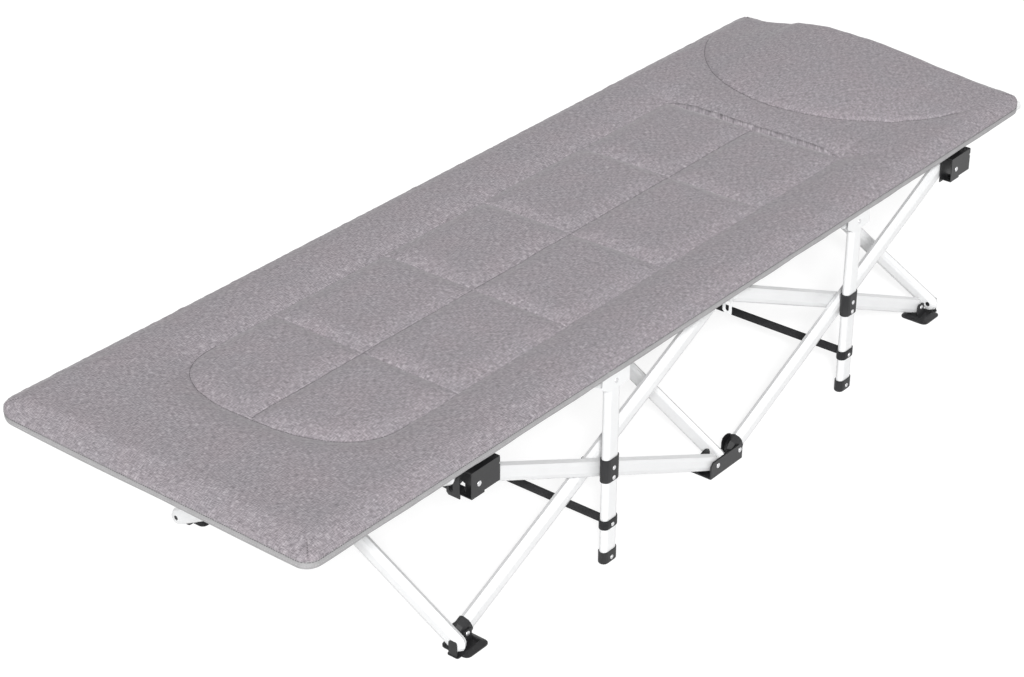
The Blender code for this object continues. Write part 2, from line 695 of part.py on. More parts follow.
# Legs with their collars, caps and rail hinges
def tube_ring(u, v, grow, steps=7):
    return oval(u, v, LEG_FLAT, LEG_THICK / 2 + grow, steps)


def leg(side, sy, end, sx):
    u, v = CROSSING_U, PLANE_LEG_Y
    centre = (FRAME_X + sx * u, sy * v)
    low = LEG_FLOOR + GAP
    body = prism(tube_ring(u, v, 0), "Z", low, LEG_TOP_Z)
    bore = prism(tube_ring(u, v, -LEG_WALL), "Z", low - 0.001, LEG_TOP_Z + 0.001)
    name = f"{side}_{end}_leg"
    piece(name, "tube", (*centre, CROSSING_Z), [placed(body, sx, sy)], [placed(bore, sx, sy)])

    outer = tube_ring(u, v, GAP + CAP_WALL)
    shell = loft([[(x, y, z) for x, y in ring] for ring, z in (
        (tube_ring(u, v, GAP + CAP_WALL - 0.0008), 0.0),
        (outer, 0.0015),
        (outer, CAP_HIGH),
    )])
    inside = prism(tube_ring(u, v, GAP), "Z", LEG_FLOOR, CAP_HIGH + 0.001)
    face_y = v + LEG_THICK / 2 + GAP + CAP_WALL
    solids = [shell, rivet((u, face_y, 0.0085), (0, 1, 0), 0.0034, 0.0011)]
    name = f"{side}_{end}_leg_cap"
    put = [placed(s, sx, sy) for s in solids]
    piece(name, "plastic", (*centre, LEG_FLOOR), put, [placed(inside, sx, sy)])

    shell = prism(tube_ring(u, v, GAP + COLLAR_WALL), "Z", COLLAR_LOW_Z, COLLAR_HIGH_Z)
    inside = prism(tube_ring(u, v, GAP), "Z", COLLAR_LOW_Z - 0.001, COLLAR_HIGH_Z + 0.001)
    face_y = v + LEG_THICK / 2 + GAP + COLLAR_WALL
    wall_v = v - LEG_THICK / 2 - GAP - COLLAR_WALL
    pin_end = INNER_FACE_Y - RUN
    solids = [
        shell,
        rod((u, pin_end - 0.0010, CROSSING_Z), (0, 1, 0), PIN_R, wall_v + 0.0023 - pin_end),
        rod((u, pin_end - 0.0020, CROSSING_Z), (0, 1, 0), 0.0070, 0.0020),
        rivet((u, face_y, COLLAR_LOW_Z + 0.0230), (0, 1, 0), 0.0036, 0.0011),
        rivet((u, face_y, COLLAR_LOW_Z + 0.0055), (0, 1, 0), 0.0036, 0.0011),
    ]
    origin = (FRAME_X + sx * u, sy * PLANE_OUTER_Y, CROSSING_Z)
    name = f"{side}_{end}_collar"
    put = [placed(s, sx, sy) for s in solids]
    made = piece(name, "plastic", origin, put)
    add_cut(made, placed(inside, sx, sy))

    cheek_in = v - LEG_THICK / 2 - GAP
    cheek_out = v + LEG_THICK / 2 + GAP
    way = -sx
    cheek = [
        (-HINGE_REACH * way, HINGE_TOP_Z),
        (-HINGE_REACH * way, HINGE_LOW_Z + 0.001),
        (-0.0160 * way, HINGE_LOW_Z),
        (0.0160 * way, HINGE_LOW_Z),
        (HINGE_REACH * way, HINGE_LOW_Z + 0.0100),
        (HINGE_REACH * way, HINGE_TOP_Z),
    ]
    cheek = [(u + a, z) for a, z in cheek]
    floor_a, floor_b = sorted((u - HINGE_REACH * way, u - (LEG_WIDE / 2 + GAP + 0.0002) * way))
    floor_low, floor_top = HINGE_LOW_Z + 0.0011, HINGE_LOW_Z + 0.0026
    solids = [
        prism(cheek, "Y", cheek_out, cheek_out + HINGE_WALL),
        prism(cheek, "Y", cheek_in - HINGE_WALL, cheek_in),
        block(floor_a, floor_b, cheek_in - 0.0006, cheek_out + 0.0006, floor_low, floor_top),
        rivet((u, cheek_out + HINGE_WALL, HINGE_LOW_Z + 0.0135), (0, 1, 0), 0.0040, 0.0009),
    ]
    for k in (-1, 1):
        start = (u + k * HINGE_HALF, cheek_in - HINGE_WALL + 0.0004, HINGE_PIN_Z)
        long = cheek_out - cheek_in + 2 * HINGE_WALL - 0.0008
        solids.append(rod(start, (0, 1, 0), HINGE_PIN_R, long))
    origin = (*centre, HINGE_PIN_Z)
    name = f"{side}_{end}_rail_hinge"
    piece(name, "tube", origin, [placed(s, sx, sy) for s in solids])


def add_cut(made, cut):
    """A cut made before the joining, so that it opens only the first solid."""
    inverse = made.matrix_world.inverted()
    label = f"{made.name}_bore"
    tool = bpy.data.objects.new(label, make_mesh(label, cut, inverse))
    GUIDES.objects.link(tool)
    tool.matrix_world = made.matrix_world
    tool.hide_render = True
    tool.display_type = "WIRE"
    change = made.modifiers.new("Bore", "BOOLEAN")
    change.operation = "DIFFERENCE"
    change.object = tool
    change.solver = "EXACT"
    made.modifiers.move(len(made.modifiers) - 1, 0)


# Rails: four lengths a side, hinged over the legs and lying on the brackets
def rail(side, sy, end, sx):
    v = PLANE_LEG_Y
    half_y, mid_z = RAIL_WIDE / 2, RAIL_LOW_Z + RAIL_HIGH / 2
    section = rounded(v - half_y, v + half_y, RAIL_LOW_Z, RAIL_HIGH_Z, 0.0045, 3)
    far = (RAIL_END_X - FRAME_X) if sx > 0 else (RAIL_END_X + FRAME_X)
    spans = (
        ("rail_end", CROSSING_U + HINGE_HALF, 1, far),
        ("rail_mid", CROSSING_U - HINGE_HALF, -1, RAIL_TIP_GAP / 2),
    )
    for kind, hinge, way, tip in spans:
        body = prism(section, "X", *sorted((hinge - way * RAIL_PAST_PIN, tip)))
        start = (hinge, v - RAIL_WIDE, HINGE_PIN_Z)
        bore = rod(start, (0, 1, 0), HINGE_BORE_R, 2 * RAIL_WIDE)
        origin = (FRAME_X + sx * hinge, sy * v, HINGE_PIN_Z)
        name = f"{side}_{end}_{kind}"
        piece(name, "tube", origin, [placed(body, sx, sy)], [placed(bore, sx, sy)])


# Webbing straps that tie each pair of legs
def strap(end, sx):
    low, high = STRAP_LOW_Z, STRAP_LOW_Z + STRAP_HIGH
    u, v = CROSSING_U, PLANE_LEG_Y
    edge = v - LEG_THICK / 2 - GAP - STRAP_THICK / 2
    solids = [block(u - STRAP_THICK / 2, u + STRAP_THICK / 2, -edge, edge, low, high)]
    cuts = []
    for sy in (-1, 1):
        solids.append(prism(tube_ring(u, sy * v, GAP + STRAP_THICK), "Z", low, high))
        face_y = sy * (v + LEG_THICK / 2 + GAP + STRAP_THICK)
        solids.append(rivet((u, face_y, STRAP_LOW_Z + 0.0060), (0, sy, 0), 0.0034, 0.0010))
        cuts.append(prism(tube_ring(u, sy * v, GAP), "Z", low - 0.001, high + 0.001))
    origin = (FRAME_X + sx * u, -v, low)
    put = [placed(s, sx, 1) for s in solids]
    piece(f"{end}_leg_strap", "webbing", origin, put, [placed(c, sx, 1) for c in cuts])


# Soft goods share one plan: a rounded rectangle ruled by lines along and across it
def plan_point(x, y, half_x, half_y):
    """Takes a point of the full rectangle to the rounded one; only corner squares change."""
    r = BED_CORNER
    s = (abs(x) - (half_x - r)) / r
    t = (abs(y) - (half_y - r)) / r
    if s <= 0 or t <= 0:
        return x, y
    s2 = s * math.sqrt(1 - t * t / 2)
    t2 = t * math.sqrt(1 - s * s / 2)
    return math.copysign(half_x - r + r * s2, x), math.copysign(half_y - r + r * t2, y)


HALF_X = BED_LENGTH / 2
HALF_Y = BED_WIDTH / 2
CORNER_STEPS = (0, 0.35, 0.62, 1)


def to_corner(half, share):
    return half - BED_CORNER * (1 - share)


FOOT_SAG = (-HALF_X, -to_corner(HALF_X, 0.62), -to_corner(HALF_X, 0), -0.8225 * LONG, -0.745 * LONG)
HEAD_SAG = (HEAD_SEAM, 0.62 * LONG, 0.72 * LONG, 0.8 * LONG)
HEAD_SAG += (to_corner(HALF_X, 0), to_corner(HALF_X, 0.62), HALF_X)
CLOTH_X = [*FOOT_SAG, *CROSS_SEAMS, *HEAD_SAG]
SAG_SHARE = [0, 0.15, 0.35, 0.72, 1, 1, 1, 1, 1, 1, 0.95, 0.8, 0.6, 0.3, 0.12, 0]
SAG_EDGE = PLANE_LEG_Y - LEG_THICK / 2 - GAP - HINGE_WALL - 0.0017
SHEET = SAG_EDGE / 0.2887
CLOTH_V = [0, 0.153 * SHEET, 0.213 * SHEET, to_corner(HALF_Y, 0), SAG_EDGE, SAG_EDGE + CLOTH, HALF_Y]


def ruled(value, at, share):
    for k in range(len(at) - 1):
        if value <= at[k + 1] or k == len(at) - 2:
            t = (value - at[k]) / (at[k + 1] - at[k])
            return share[k] + (share[k + 1] - share[k]) * min(1, max(0, t))
    return share[-1]


def sheet_top(x, y):
    across = [max(0.0, 1 - (v / SAG_EDGE) ** 2) for v in CLOTH_V]
    return CLOTH_HIGH_Z - SAG * ruled(x, CLOTH_X, SAG_SHARE) * ruled(abs(y), CLOTH_V, across)


def both_sides(values):
    return sorted({-v for v in values} | set(values))


def bed_cloth():
    lines_y = both_sides(CLOTH_V)
    nx, ny = len(CLOTH_X), len(lines_y)
    points, faces = [], []

    def inset(x, y, amount):
        px, py = plan_point(x, y, HALF_X, HALF_Y)
        if amount and (abs(x) > HALF_X - 1e-9 or abs(y) > HALF_Y - 1e-9):
            cx = min(max(px, -HALF_X + BED_CORNER), HALF_X - BED_CORNER)
            cy = min(max(py, -HALF_Y + BED_CORNER), HALF_Y - BED_CORNER)
            away = Vector((px - cx, py - cy))
            away.normalize()
            px, py = px - away.x * amount, py - away.y * amount
        return px, py

    for amount, drop in ((0, 0), (CLOTH, CLOTH)):
        for x in CLOTH_X:
            for y in lines_y:
                points.append((*inset(x, y, amount), sheet_top(x, y) - drop))

    def top(i, j):
        return i * ny + j

    under = nx * ny
    hems = {ny - 3: {}, 1: {}}
    hem_ends = (2, nx - 3)
    for j, low in hems.items():
        for i in range(hem_ends[0], hem_ends[1] + 1):
            for k in (j, j + 1):
                low[i, k] = len(points)
                x, y, _ = points[under + top(i, k)]
                points.append((x, y, HEM_LOW_Z + HEM_TUCK))
    for i in range(nx - 1):
        for j in range(ny - 1):
            cell = ((i, j), (i + 1, j), (i + 1, j + 1), (i, j + 1))
            faces.append(tuple(top(*c) for c in cell))
            if j not in hems or not hem_ends[0] <= i < hem_ends[1]:
                faces.append(tuple(under + top(*c) for c in cell)[::-1])
                continue
            low = hems[j]
            faces.append(tuple(low[c] for c in cell)[::-1])
            walls = [(cell[0], cell[1]), (cell[2], cell[3])]
            walls += [(cell[3], cell[0])] if i == hem_ends[0] else []
            walls += [(cell[1], cell[2])] if i == hem_ends[1] - 1 else []
            for a, b in walls:
                faces.append((under + top(*a), under + top(*b), low[b], low[a]))
    loop = [top(i, 0) for i in range(nx)] + [top(nx - 1, j) for j in range(1, ny)]
    loop += [top(i, ny - 1) for i in range(nx - 2, -1, -1)] + [top(0, j) for j in range(ny - 2, 0, -1)]
    count = len(loop)
    first = len(points)
    for k in loop:
        points.append((points[k][0], points[k][1], HEM_LOW_Z))
    for k in loop:
        points.append((points[under + k][0], points[under + k][1], HEM_LOW_Z))
    for k in range(count):
        n = (k + 1) % count
        a, b = loop[k], loop[n]
        faces.append((b, a, first + k, first + n))
        faces.append((first + n, first + k, first + count + k, first + count + n))
        faces.append((under + a, under + b, first + count + n, first + count + k))
    piece("bed_cloth", "band", (0, 0, CLOTH_LOW_Z), [(points, faces)])


def swell(distance, width):
    """From 0 at a seam to 1 a width away, rising steeply at first as stuffed cloth does."""
    t = min(max(distance / width, 0), 1)
    return math.sqrt(1 - (1 - t) ** 2)


def foot_seam_x(y):
    return FOOT_SEAM + (1 - math.sqrt(max(0.0, 1 - (y / SIDE_SEAM) ** 4))) * FOOT_SEAM_R


def pillow(x, y):
    rho = ((x - PILLOW_AT[0]) / PILLOW_HALF[0]) ** 2 + ((y - PILLOW_AT[1]) / PILLOW_HALF[1]) ** 2
    return PILLOW_HIGH * (1 - rho) ** PILLOW_SOFT if rho < 1 else 0.0


def pad_top(x, y):
    edge = min(HALF_X - abs(x), HALF_Y - abs(y))
    rim = CLOTH_HIGH_Z + RIM_RISE
    height = rim + CROWN * swell(edge, CROWN_WIDE)
    foot = foot_seam_x(y)
    inside = foot < x < HEAD_SEAM and abs(y) < SIDE_SEAM
    if inside:
        seams = [x - foot, HEAD_SEAM - x, SIDE_SEAM - abs(y), abs(y)]
        seams += [abs(x - s) for s in CROSS_SEAMS]
        return SEAM_Z + PUFF * swell(min(seams), PUFF_WIDE)
    dx = max(foot - x, x - HEAD_SEAM, 0)
    dy = max(abs(y) - SIDE_SEAM, 0)
    full = SEAM_Z + (rim + CROWN - SEAM_Z) * swell(math.hypot(dx, dy), PUFF_WIDE)
    end = swell(HALF_X - abs(x), CROWN_WIDE)
    return min(height, full) + pillow(x, y) * end


def pad():
    half_x, half_y = HALF_X - PAD_INSET, HALF_Y - PAD_INSET
    ends = [to_corner(half_x, s) for s in CORNER_STEPS]
    w = PUFF_WIDE
    lines_x = [-e for e in ends] + ends + [*FOOT_SAG[3:], FOOT_LINE, FOOT_LINE + 0.030 * LONG]
    lines_x += [HEAD_SEAM - w, HEAD_SEAM + w]
    for s in CROSS_SEAMS:
        lines_x += [s - w, s, s + w]
    lines_x += [*HEAD_SAG[:4], 0.67 * LONG, 0.86 * LONG, half_x - CROWN_WIDE, CROWN_WIDE - half_x]
    lines_x = sorted(set(lines_x))
    lines_v = [0, w, CLOTH_V[1], SIDE_SEAM, CLOTH_V[2], half_y - CROWN_WIDE]
    lines_v += [to_corner(half_y, s) for s in CORNER_STEPS]
    lines_y = both_sides(lines_v)
    nx, ny = len(lines_x), len(lines_y)
    points, faces = [], []
    tops, lows = {}, {}
    for i, x in enumerate(lines_x):
        for j, y in enumerate(lines_y):
            rim = i in (0, nx - 1) or j in (0, ny - 1)
            bent = abs(x - FOOT_LINE) < 0.031 * LONG and abs(y) < SIDE_SEAM
            shift = foot_seam_x(y) - FOOT_LINE if bent else 0
            px, py = plan_point(x, y, half_x, half_y)
            tops[i, j] = len(points)
            high = CLOTH_HIGH_Z + RIM_RISE if rim else pad_top(x + shift, y)
            points.append((px + shift, py, high))
            if rim:
                lows[i, j] = tops[i, j]
                continue
            lows[i, j] = len(points)
            points.append((px, py, sheet_top(x, y) + SEAT_GAP))
    for i in range(nx - 1):
        for j in range(ny - 1):
            corners = ((i, j), (i + 1, j), (i + 1, j + 1), (i, j + 1))
            faces.append(tuple(tops[c] for c in corners))
            faces.append(tuple(lows[c] for c in corners)[::-1])
    piece("pad", "quilt", (0, 0, CLOTH_HIGH_Z + RIM_RISE), [(points, faces)])


for side_name, side_sign in SIDES:
    hub_low(side_name, side_sign)
    hub_top(side_name, side_sign)
    for end_name, end_sign in ENDS:
        side_bars(side_name, side_sign, end_name, end_sign)
        shoe(side_name, side_sign, end_name, end_sign)
        top_bracket(side_name, side_sign, end_name, end_sign)
        leg(side_name, side_sign, end_name, end_sign)
        rail(side_name, side_sign, end_name, end_sign)
LUG_HEAD_GAP = 0.0005
cross_bars("mid", FRAME_X - PLANE_CROSS_MID, FRAME_X + PLANE_CROSS_MID, 1, LUG_HEAD_GAP, MID_THICK)
for end_name, end_sign in ENDS:
    near = FRAME_X + end_sign * PLANE_CROSS_NEAR
    outer = FRAME_X + end_sign * PLANE_CROSS_FAR
    cross_bars(end_name, near, outer, end_sign, LUG_HEAD_GAP, CROSS_THICK)
    strap(end_name, end_sign)
bed_cloth()
pad()
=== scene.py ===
# %% [markdown]
# A folding camping cot stands on a low frame of crossed white bars, with black joints and a quilted
# grey pad. The hard pieces come from the CAD model as a fixed frame, and this script gives them their
# finishes. It also makes what CAD leaves plain: the sewn pad, the band of cloth under it, the webbing,
# the stitches and the small rivets. The frame is loaded first, because every later piece is placed on it.
import json
import math

import bmesh
import bpy
import numpy as np
from mathutils import Matrix, Vector


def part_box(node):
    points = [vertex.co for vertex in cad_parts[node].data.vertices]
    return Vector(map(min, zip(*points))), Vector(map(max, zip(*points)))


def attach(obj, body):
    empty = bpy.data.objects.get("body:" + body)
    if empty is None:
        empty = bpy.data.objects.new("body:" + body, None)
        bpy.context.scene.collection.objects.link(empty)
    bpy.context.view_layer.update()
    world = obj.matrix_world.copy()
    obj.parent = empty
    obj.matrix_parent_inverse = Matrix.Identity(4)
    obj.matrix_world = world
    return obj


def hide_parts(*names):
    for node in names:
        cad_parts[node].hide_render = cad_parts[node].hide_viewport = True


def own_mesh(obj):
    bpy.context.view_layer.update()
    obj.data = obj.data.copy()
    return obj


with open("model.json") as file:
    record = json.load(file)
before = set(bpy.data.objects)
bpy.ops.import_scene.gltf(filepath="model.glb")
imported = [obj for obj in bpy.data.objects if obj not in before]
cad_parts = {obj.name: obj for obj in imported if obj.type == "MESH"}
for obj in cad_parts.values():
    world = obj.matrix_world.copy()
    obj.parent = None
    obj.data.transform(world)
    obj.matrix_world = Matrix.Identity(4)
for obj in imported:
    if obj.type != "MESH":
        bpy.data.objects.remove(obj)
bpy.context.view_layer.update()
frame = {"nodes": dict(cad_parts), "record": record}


def placed(name, data):
    """A new object, put in the scene."""
    made = bpy.data.objects.new(name, data)
    bpy.context.collection.objects.link(made)
    return made


def mesh_of(name, points, faces=()):
    mesh = bpy.data.meshes.new(name)
    mesh.from_pydata(points, [], faces)
    return mesh


# %% [markdown]
# The camera stands where the photographer's did, low beside the foot end and looking along the bed.
# A long lens keeps the far end from shrinking too much. The place and the lens were solved from the
# ends of the bars and the outline of the bed, so they are written here as plain numbers.

# %% The camera
SHOT_FROM = Vector((-2.8693, -2.1946, 2.2056))
TURNED, RAISED, ROLLED = (math.radians(a) for a in (-51.116, 29.537, 0.219))

level = Vector((math.cos(TURNED), math.sin(TURNED), 0))
back = Vector((math.sin(TURNED) * math.cos(RAISED), -math.cos(TURNED) * math.cos(RAISED), math.sin(RAISED)))
upright = back.cross(level)
side_axis = math.cos(ROLLED) * level + math.sin(ROLLED) * upright
top_axis = math.cos(ROLLED) * upright - math.sin(ROLLED) * level
turned_by = Matrix((side_axis, top_axis, back)).transposed().to_4x4()

lens = bpy.data.cameras.new("photo_camera")
lens.sensor_width = 36
lens.lens = 88.187
lens.clip_end = 60
camera = placed("photo_camera", lens)
camera.matrix_world = Matrix.Translation(SHOT_FROM) @ turned_by
bpy.context.scene.camera = camera
bpy.context.scene.view_settings.view_transform = "Standard"
print("camera at", tuple(round(v, 3) for v in SHOT_FROM), "with a", lens.lens, "mm lens")

# %% [markdown]
# Every finish below is a small tree of shader nodes. Building one takes the same three moves each time:
# add a node, set its sockets, and join it to the last one. A few short helpers do that, so that each
# material's own cell shows only what makes it look like cloth, paint or moulded plastic.

# %% Helpers for materials
def new_finish(name):
    made = bpy.data.materials.new(name)
    made.use_nodes = True
    made.node_tree.nodes.clear()
    return made, made.node_tree


def put(tree, kind, sockets=None, **settings):
    node = tree.nodes.new(kind)
    for key, value in settings.items():
        setattr(node, key, value)
    for key, value in (sockets or {}).items():
        if isinstance(value, bpy.types.NodeSocket):
            tree.links.new(value, node.inputs[key])
        else:
            node.inputs[key].default_value = value
    return node


def combine(tree, operation, a, b=0.0, c=0.0):
    return put(tree, "ShaderNodeMath", {0: a, 1: b, 2: c}, operation=operation).outputs[0]


def stretched_noise(tree, place, scale, detail=2.0, rough=0.5):
    """Noise whose grain is as long as 1 / scale along each axis."""
    laid = put(tree, "ShaderNodeMapping", {"Vector": place, "Scale": scale})
    sockets = {"Vector": laid.outputs[0], "Scale": 1.0, "Detail": detail, "Roughness": rough}
    return put(tree, "ShaderNodeTexNoise", sockets).outputs["Fac"]


def shades(tree, value, *stops):
    """A colour ramp from (position, (r, g, b)) stops."""
    node = put(tree, "ShaderNodeValToRGB", {"Fac": value})
    ramp = node.color_ramp
    while len(ramp.elements) < len(stops):
        ramp.elements.new(0.5)
    for element, (at, colour) in zip(ramp.elements, stops):
        element.position = at
        element.color = (*colour, 1)
    return node.outputs["Color"]


def finish_with(tree, sockets):
    shader = put(tree, "ShaderNodeBsdfPrincipled", sockets)
    put(tree, "ShaderNodeOutputMaterial", {"Surface": shader.outputs[0]})


print("material helpers ready")

# %% [markdown]
# The tubes are steel with a white powder coat, the joints are painted satin black, the feet, caps and
# collars are moulded in black plastic, and the rivets are zinc-plated. What tells them apart is how they
# shine. One noise shifts the colour between two shades, and the roughness with it. A finer one, used only
# as a very shallow bump, is the orange peel of powder coat or the fine, even grain of plastic.

# %% Powder coat, paint, plastic and plating
def hard_finish(name, noise, stops, rough, grain=None, relief=(0.0, 0.0), more=None):
    """A noise is (scale, detail) or (scale, detail, roughness), and a relief is (strength, distance)."""
    made, tree = new_finish(name)
    place = put(tree, "ShaderNodeTexCoord").outputs["Object"]
    uneven = stretched_noise(tree, place, (noise[0],) * 3, *noise[1:])
    sockets = {"Base Color": shades(tree, uneven, *stops)}
    sockets["Roughness"] = combine(tree, "MULTIPLY_ADD", uneven, *rough)
    if grain:
        fine = stretched_noise(tree, place, (grain[0],) * 3, *grain[1:])
        bump = put(tree, "ShaderNodeBump", {"Height": fine, "Strength": relief[0], "Distance": relief[1]})
        sockets["Normal"] = bump.outputs[0]
    finish_with(tree, sockets | (more or {}))
    return made


powder_coat = hard_finish(
    "white_powder_coat", (9, 3), [(0.3, (0.80, 0.805, 0.81)), (0.7, (0.86, 0.865, 0.87))], (0.12, 0.27),
    grain=(420, 2), relief=(0.12, 0.0004),
    more={"Coat Weight": 0.25, "Coat Roughness": 0.2, "Specular IOR Level": 0.5},
)
black_paint = hard_finish(
    "satin_black_paint", (60, 5, 0.65),
    [(0.35, (0.010, 0.010, 0.011)), (0.75, (0.020, 0.020, 0.021))], (0.25, 0.26),
    grain=(1500, 2), relief=(0.2, 0.0002), more={"Specular IOR Level": 0.45},
)
black_plastic = hard_finish(
    "moulded_black_plastic", (30, 4),
    [(0.35, (0.011, 0.011, 0.012)), (0.8, (0.026, 0.026, 0.027))], (0.2, 0.40),
    grain=(900, 3, 0.6), relief=(0.35, 0.0003), more={"Specular IOR Level": 0.4},
)
zinc = hard_finish(
    "zinc_plate", (700, 3), [(0.3, (0.62, 0.62, 0.63)), (0.7, (0.78, 0.78, 0.79))], (0.2, 0.25),
    more={"Metallic": 1.0},
)
print("made", ", ".join(made.name for made in (powder_coat, black_paint, black_plastic, zinc)))

# %% [markdown]
# The pad is covered in a heathered cloth: light and dark yarns are woven together, so short streaks run
# both along and across the bed. Two noises, each drawn out long in one direction, make those streaks.
# They are read from the cloth's own UV map, laid out in metres, so the streaks turn and gather with the
# cloth when the bed folds. A finer pair gives the threads their relief.

# %% Heathered quilt cloth
CLOTH_UV = "cloth"


def heathered_cloth():
    made, tree = new_finish("heathered_quilt_cloth")
    laid = put(tree, "ShaderNodeUVMap", uv_map=CLOTH_UV).outputs[0]
    warp = stretched_noise(tree, laid, (110, 760, 1), 1.0, 0.5)
    weft = stretched_noise(tree, laid, (760, 110, 1), 1.0, 0.5)
    yarn_a = stretched_noise(tree, laid, (180, 1900, 1), 1.5)
    yarn_b = stretched_noise(tree, laid, (1900, 180, 1), 1.5)
    patches = stretched_noise(tree, laid, (14, 14, 1), 3, 0.55)
    streaks = combine(tree, "ADD", warp, weft)
    yarns = combine(tree, "ADD", yarn_a, yarn_b)
    mixed = combine(tree, "MULTIPLY_ADD", streaks, 0.72, combine(tree, "MULTIPLY", yarns, 0.28))
    value = combine(tree, "MULTIPLY", mixed, 0.5)
    colour = shades(
        tree, value,
        (0.37, (0.180, 0.165, 0.178)), (0.47, (0.268, 0.246, 0.263)),
        (0.53, (0.332, 0.306, 0.325)), (0.63, (0.505, 0.475, 0.497)),
    )
    tint = shades(tree, patches, (0.35, (0.985, 0.992, 1.0)), (0.68, (1.015, 0.992, 1.0)))
    tinted = put(tree, "ShaderNodeMix", {"Factor": 1.0}, data_type="RGBA", blend_type="MULTIPLY")
    tree.links.new(colour, tinted.inputs[6])
    tree.links.new(tint, tinted.inputs[7])
    threads = combine(tree, "MULTIPLY_ADD", yarns, 0.6, streaks)
    bump = put(tree, "ShaderNodeBump", {"Height": threads, "Strength": 0.22, "Distance": 0.0006})
    finish_with(tree, {
        "Base Color": tinted.outputs[2], "Roughness": 0.92, "Normal": bump.outputs[0],
        "Specular IOR Level": 0.15, "Sheen Weight": 0.18, "Sheen Roughness": 0.45,
    })
    return made


quilt_cloth = heathered_cloth()
print("made", quilt_cloth.name)

# %% [markdown]
# The band under the pad is a plain, tightly woven grey cloth, which is what carries the sleeper. It has
# no heather, only a fine over-and-under weave and a little unevenness. Two crossed waves of yarn, in
# step with each other, are the simplest weave, and they are shallow enough to vanish from a distance.

# %% Plain band cloth and black webbing
def woven(name, dark, light, pitch, relief, rough):
    made, tree = new_finish(name)
    laid = put(tree, "ShaderNodeUVMap", uv_map=CLOTH_UV).outputs[0]
    parts = put(tree, "ShaderNodeSeparateXYZ", {"Vector": laid})
    rate = 2 * math.pi / pitch
    over, under = (
        combine(tree, "SINE", combine(tree, "MULTIPLY", parts.outputs[k], rate)) for k in (0, 1)
    )
    weave = combine(tree, "MULTIPLY", over, under)
    uneven = stretched_noise(tree, laid, (45, 45, 1), 4, 0.6)
    slub = stretched_noise(tree, laid, (1200, 160, 1), 2)
    value = combine(tree, "MULTIPLY_ADD", slub, 0.5, combine(tree, "MULTIPLY", uneven, 0.5))
    height = combine(tree, "MULTIPLY_ADD", weave, 0.35, slub)
    bump = put(tree, "ShaderNodeBump", {"Height": height, "Strength": 0.4, "Distance": relief})
    finish_with(tree, {
        "Base Color": shades(tree, value, (0.35, dark), (0.65, light)), "Roughness": rough,
        "Normal": bump.outputs[0], "Specular IOR Level": 0.2, "Sheen Weight": 0.1,
    })
    return made


band_cloth = woven("plain_band_cloth", (0.33, 0.325, 0.33), (0.40, 0.395, 0.40), 0.0011, 0.0003, 0.85)
webbing = woven("black_webbing", (0.010, 0.010, 0.011), (0.028, 0.028, 0.030), 0.0022, 0.0006, 0.75)
print("made", band_cloth.name, "and", webbing.name)

# %% [markdown]
# The CAD nodes that keep their own shape now take these finishes. The record already says which slot
# each node belongs to, so one table from slot to material covers them all, and nothing is missed.

# %% Finishes on the frame
FINISHES = {
    "tube": powder_coat, "bracket": black_paint, "plastic": black_plastic,
    "webbing": webbing, "band": band_cloth, "quilt": quilt_cloth,
}
slot_of = {part["node"]: part["material_slot"] for part in frame["record"]["subparts"]}

for name, node in frame["nodes"].items():
    node.data.materials.clear()
    node.data.materials.append(FINISHES[slot_of[name]])
print("finished", len(slot_of), "nodes")

# %% [markdown]
# The room is a plain pale studio: a white floor, a white world and two soft lamps. The key lamp stands far
# off, so that the near and the far end of the bed are lit alike. The photograph has a pure white ground,
# so what the camera and the gloss see of the world and the floor is plain white, while the light that
# falls on the cot stays at an ordinary level. Light Path tells the two apart.

# %% World, floor and lamps
WORLD_LIGHT = 0.36
FLOOR_HALF = 14.0


def studio_world():
    world = bpy.data.worlds.new("studio")
    world.use_nodes = True
    tree = world.node_tree
    tree.nodes.clear()
    path = put(tree, "ShaderNodeLightPath")
    seen = combine(tree, "MAXIMUM", path.outputs["Is Camera Ray"], path.outputs["Is Glossy Ray"])
    seen = combine(tree, "MAXIMUM", seen, path.outputs["Is Transmission Ray"])
    strength = combine(tree, "MULTIPLY_ADD", seen, 1 - WORLD_LIGHT, WORLD_LIGHT)
    light = put(tree, "ShaderNodeBackground", {"Color": (1, 1, 1, 1), "Strength": strength})
    put(tree, "ShaderNodeOutputWorld", {"Surface": light.outputs[0]})
    bpy.context.scene.world = world


def studio_floor():
    r = FLOOR_HALF
    mesh = mesh_of("studio_floor", [(-r, -r, 0), (r, -r, 0), (r, r, 0), (-r, r, 0)], [(0, 1, 2, 3)])
    floor = placed("studio_floor", mesh)
    made, tree = new_finish("pale_floor")
    path = put(tree, "ShaderNodeLightPath")
    seen = combine(tree, "MAXIMUM", path.outputs["Is Camera Ray"], path.outputs["Is Glossy Ray"])
    shaded = put(tree, "ShaderNodeBsdfDiffuse", {"Color": (0.24, 0.24, 0.24, 1)})
    plain = put(tree, "ShaderNodeBsdfDiffuse", {"Color": (0.62, 0.62, 0.62, 1)})
    glow = put(tree, "ShaderNodeEmission", {"Color": (1, 1, 1, 1), "Strength": 0.86})
    white = put(tree, "ShaderNodeAddShader", {0: shaded.outputs[0], 1: glow.outputs[0]})
    either = put(tree, "ShaderNodeMixShader", {"Fac": seen, 1: plain.outputs[0], 2: white.outputs[0]})
    put(tree, "ShaderNodeOutputMaterial", {"Surface": either.outputs[0]})
    mesh.materials.append(made)


def soft_lamp(name, place, aim, size, power):
    data = bpy.data.lights.new(name, "AREA")
    data.shape = "DISK"
    data.size = size
    data.energy = power
    lamp = placed(name, data)
    lamp.location = place
    lamp.rotation_mode = "QUATERNION"
    lamp.rotation_quaternion = (Vector(aim) - Vector(place)).to_track_quat("-Z", "Y")


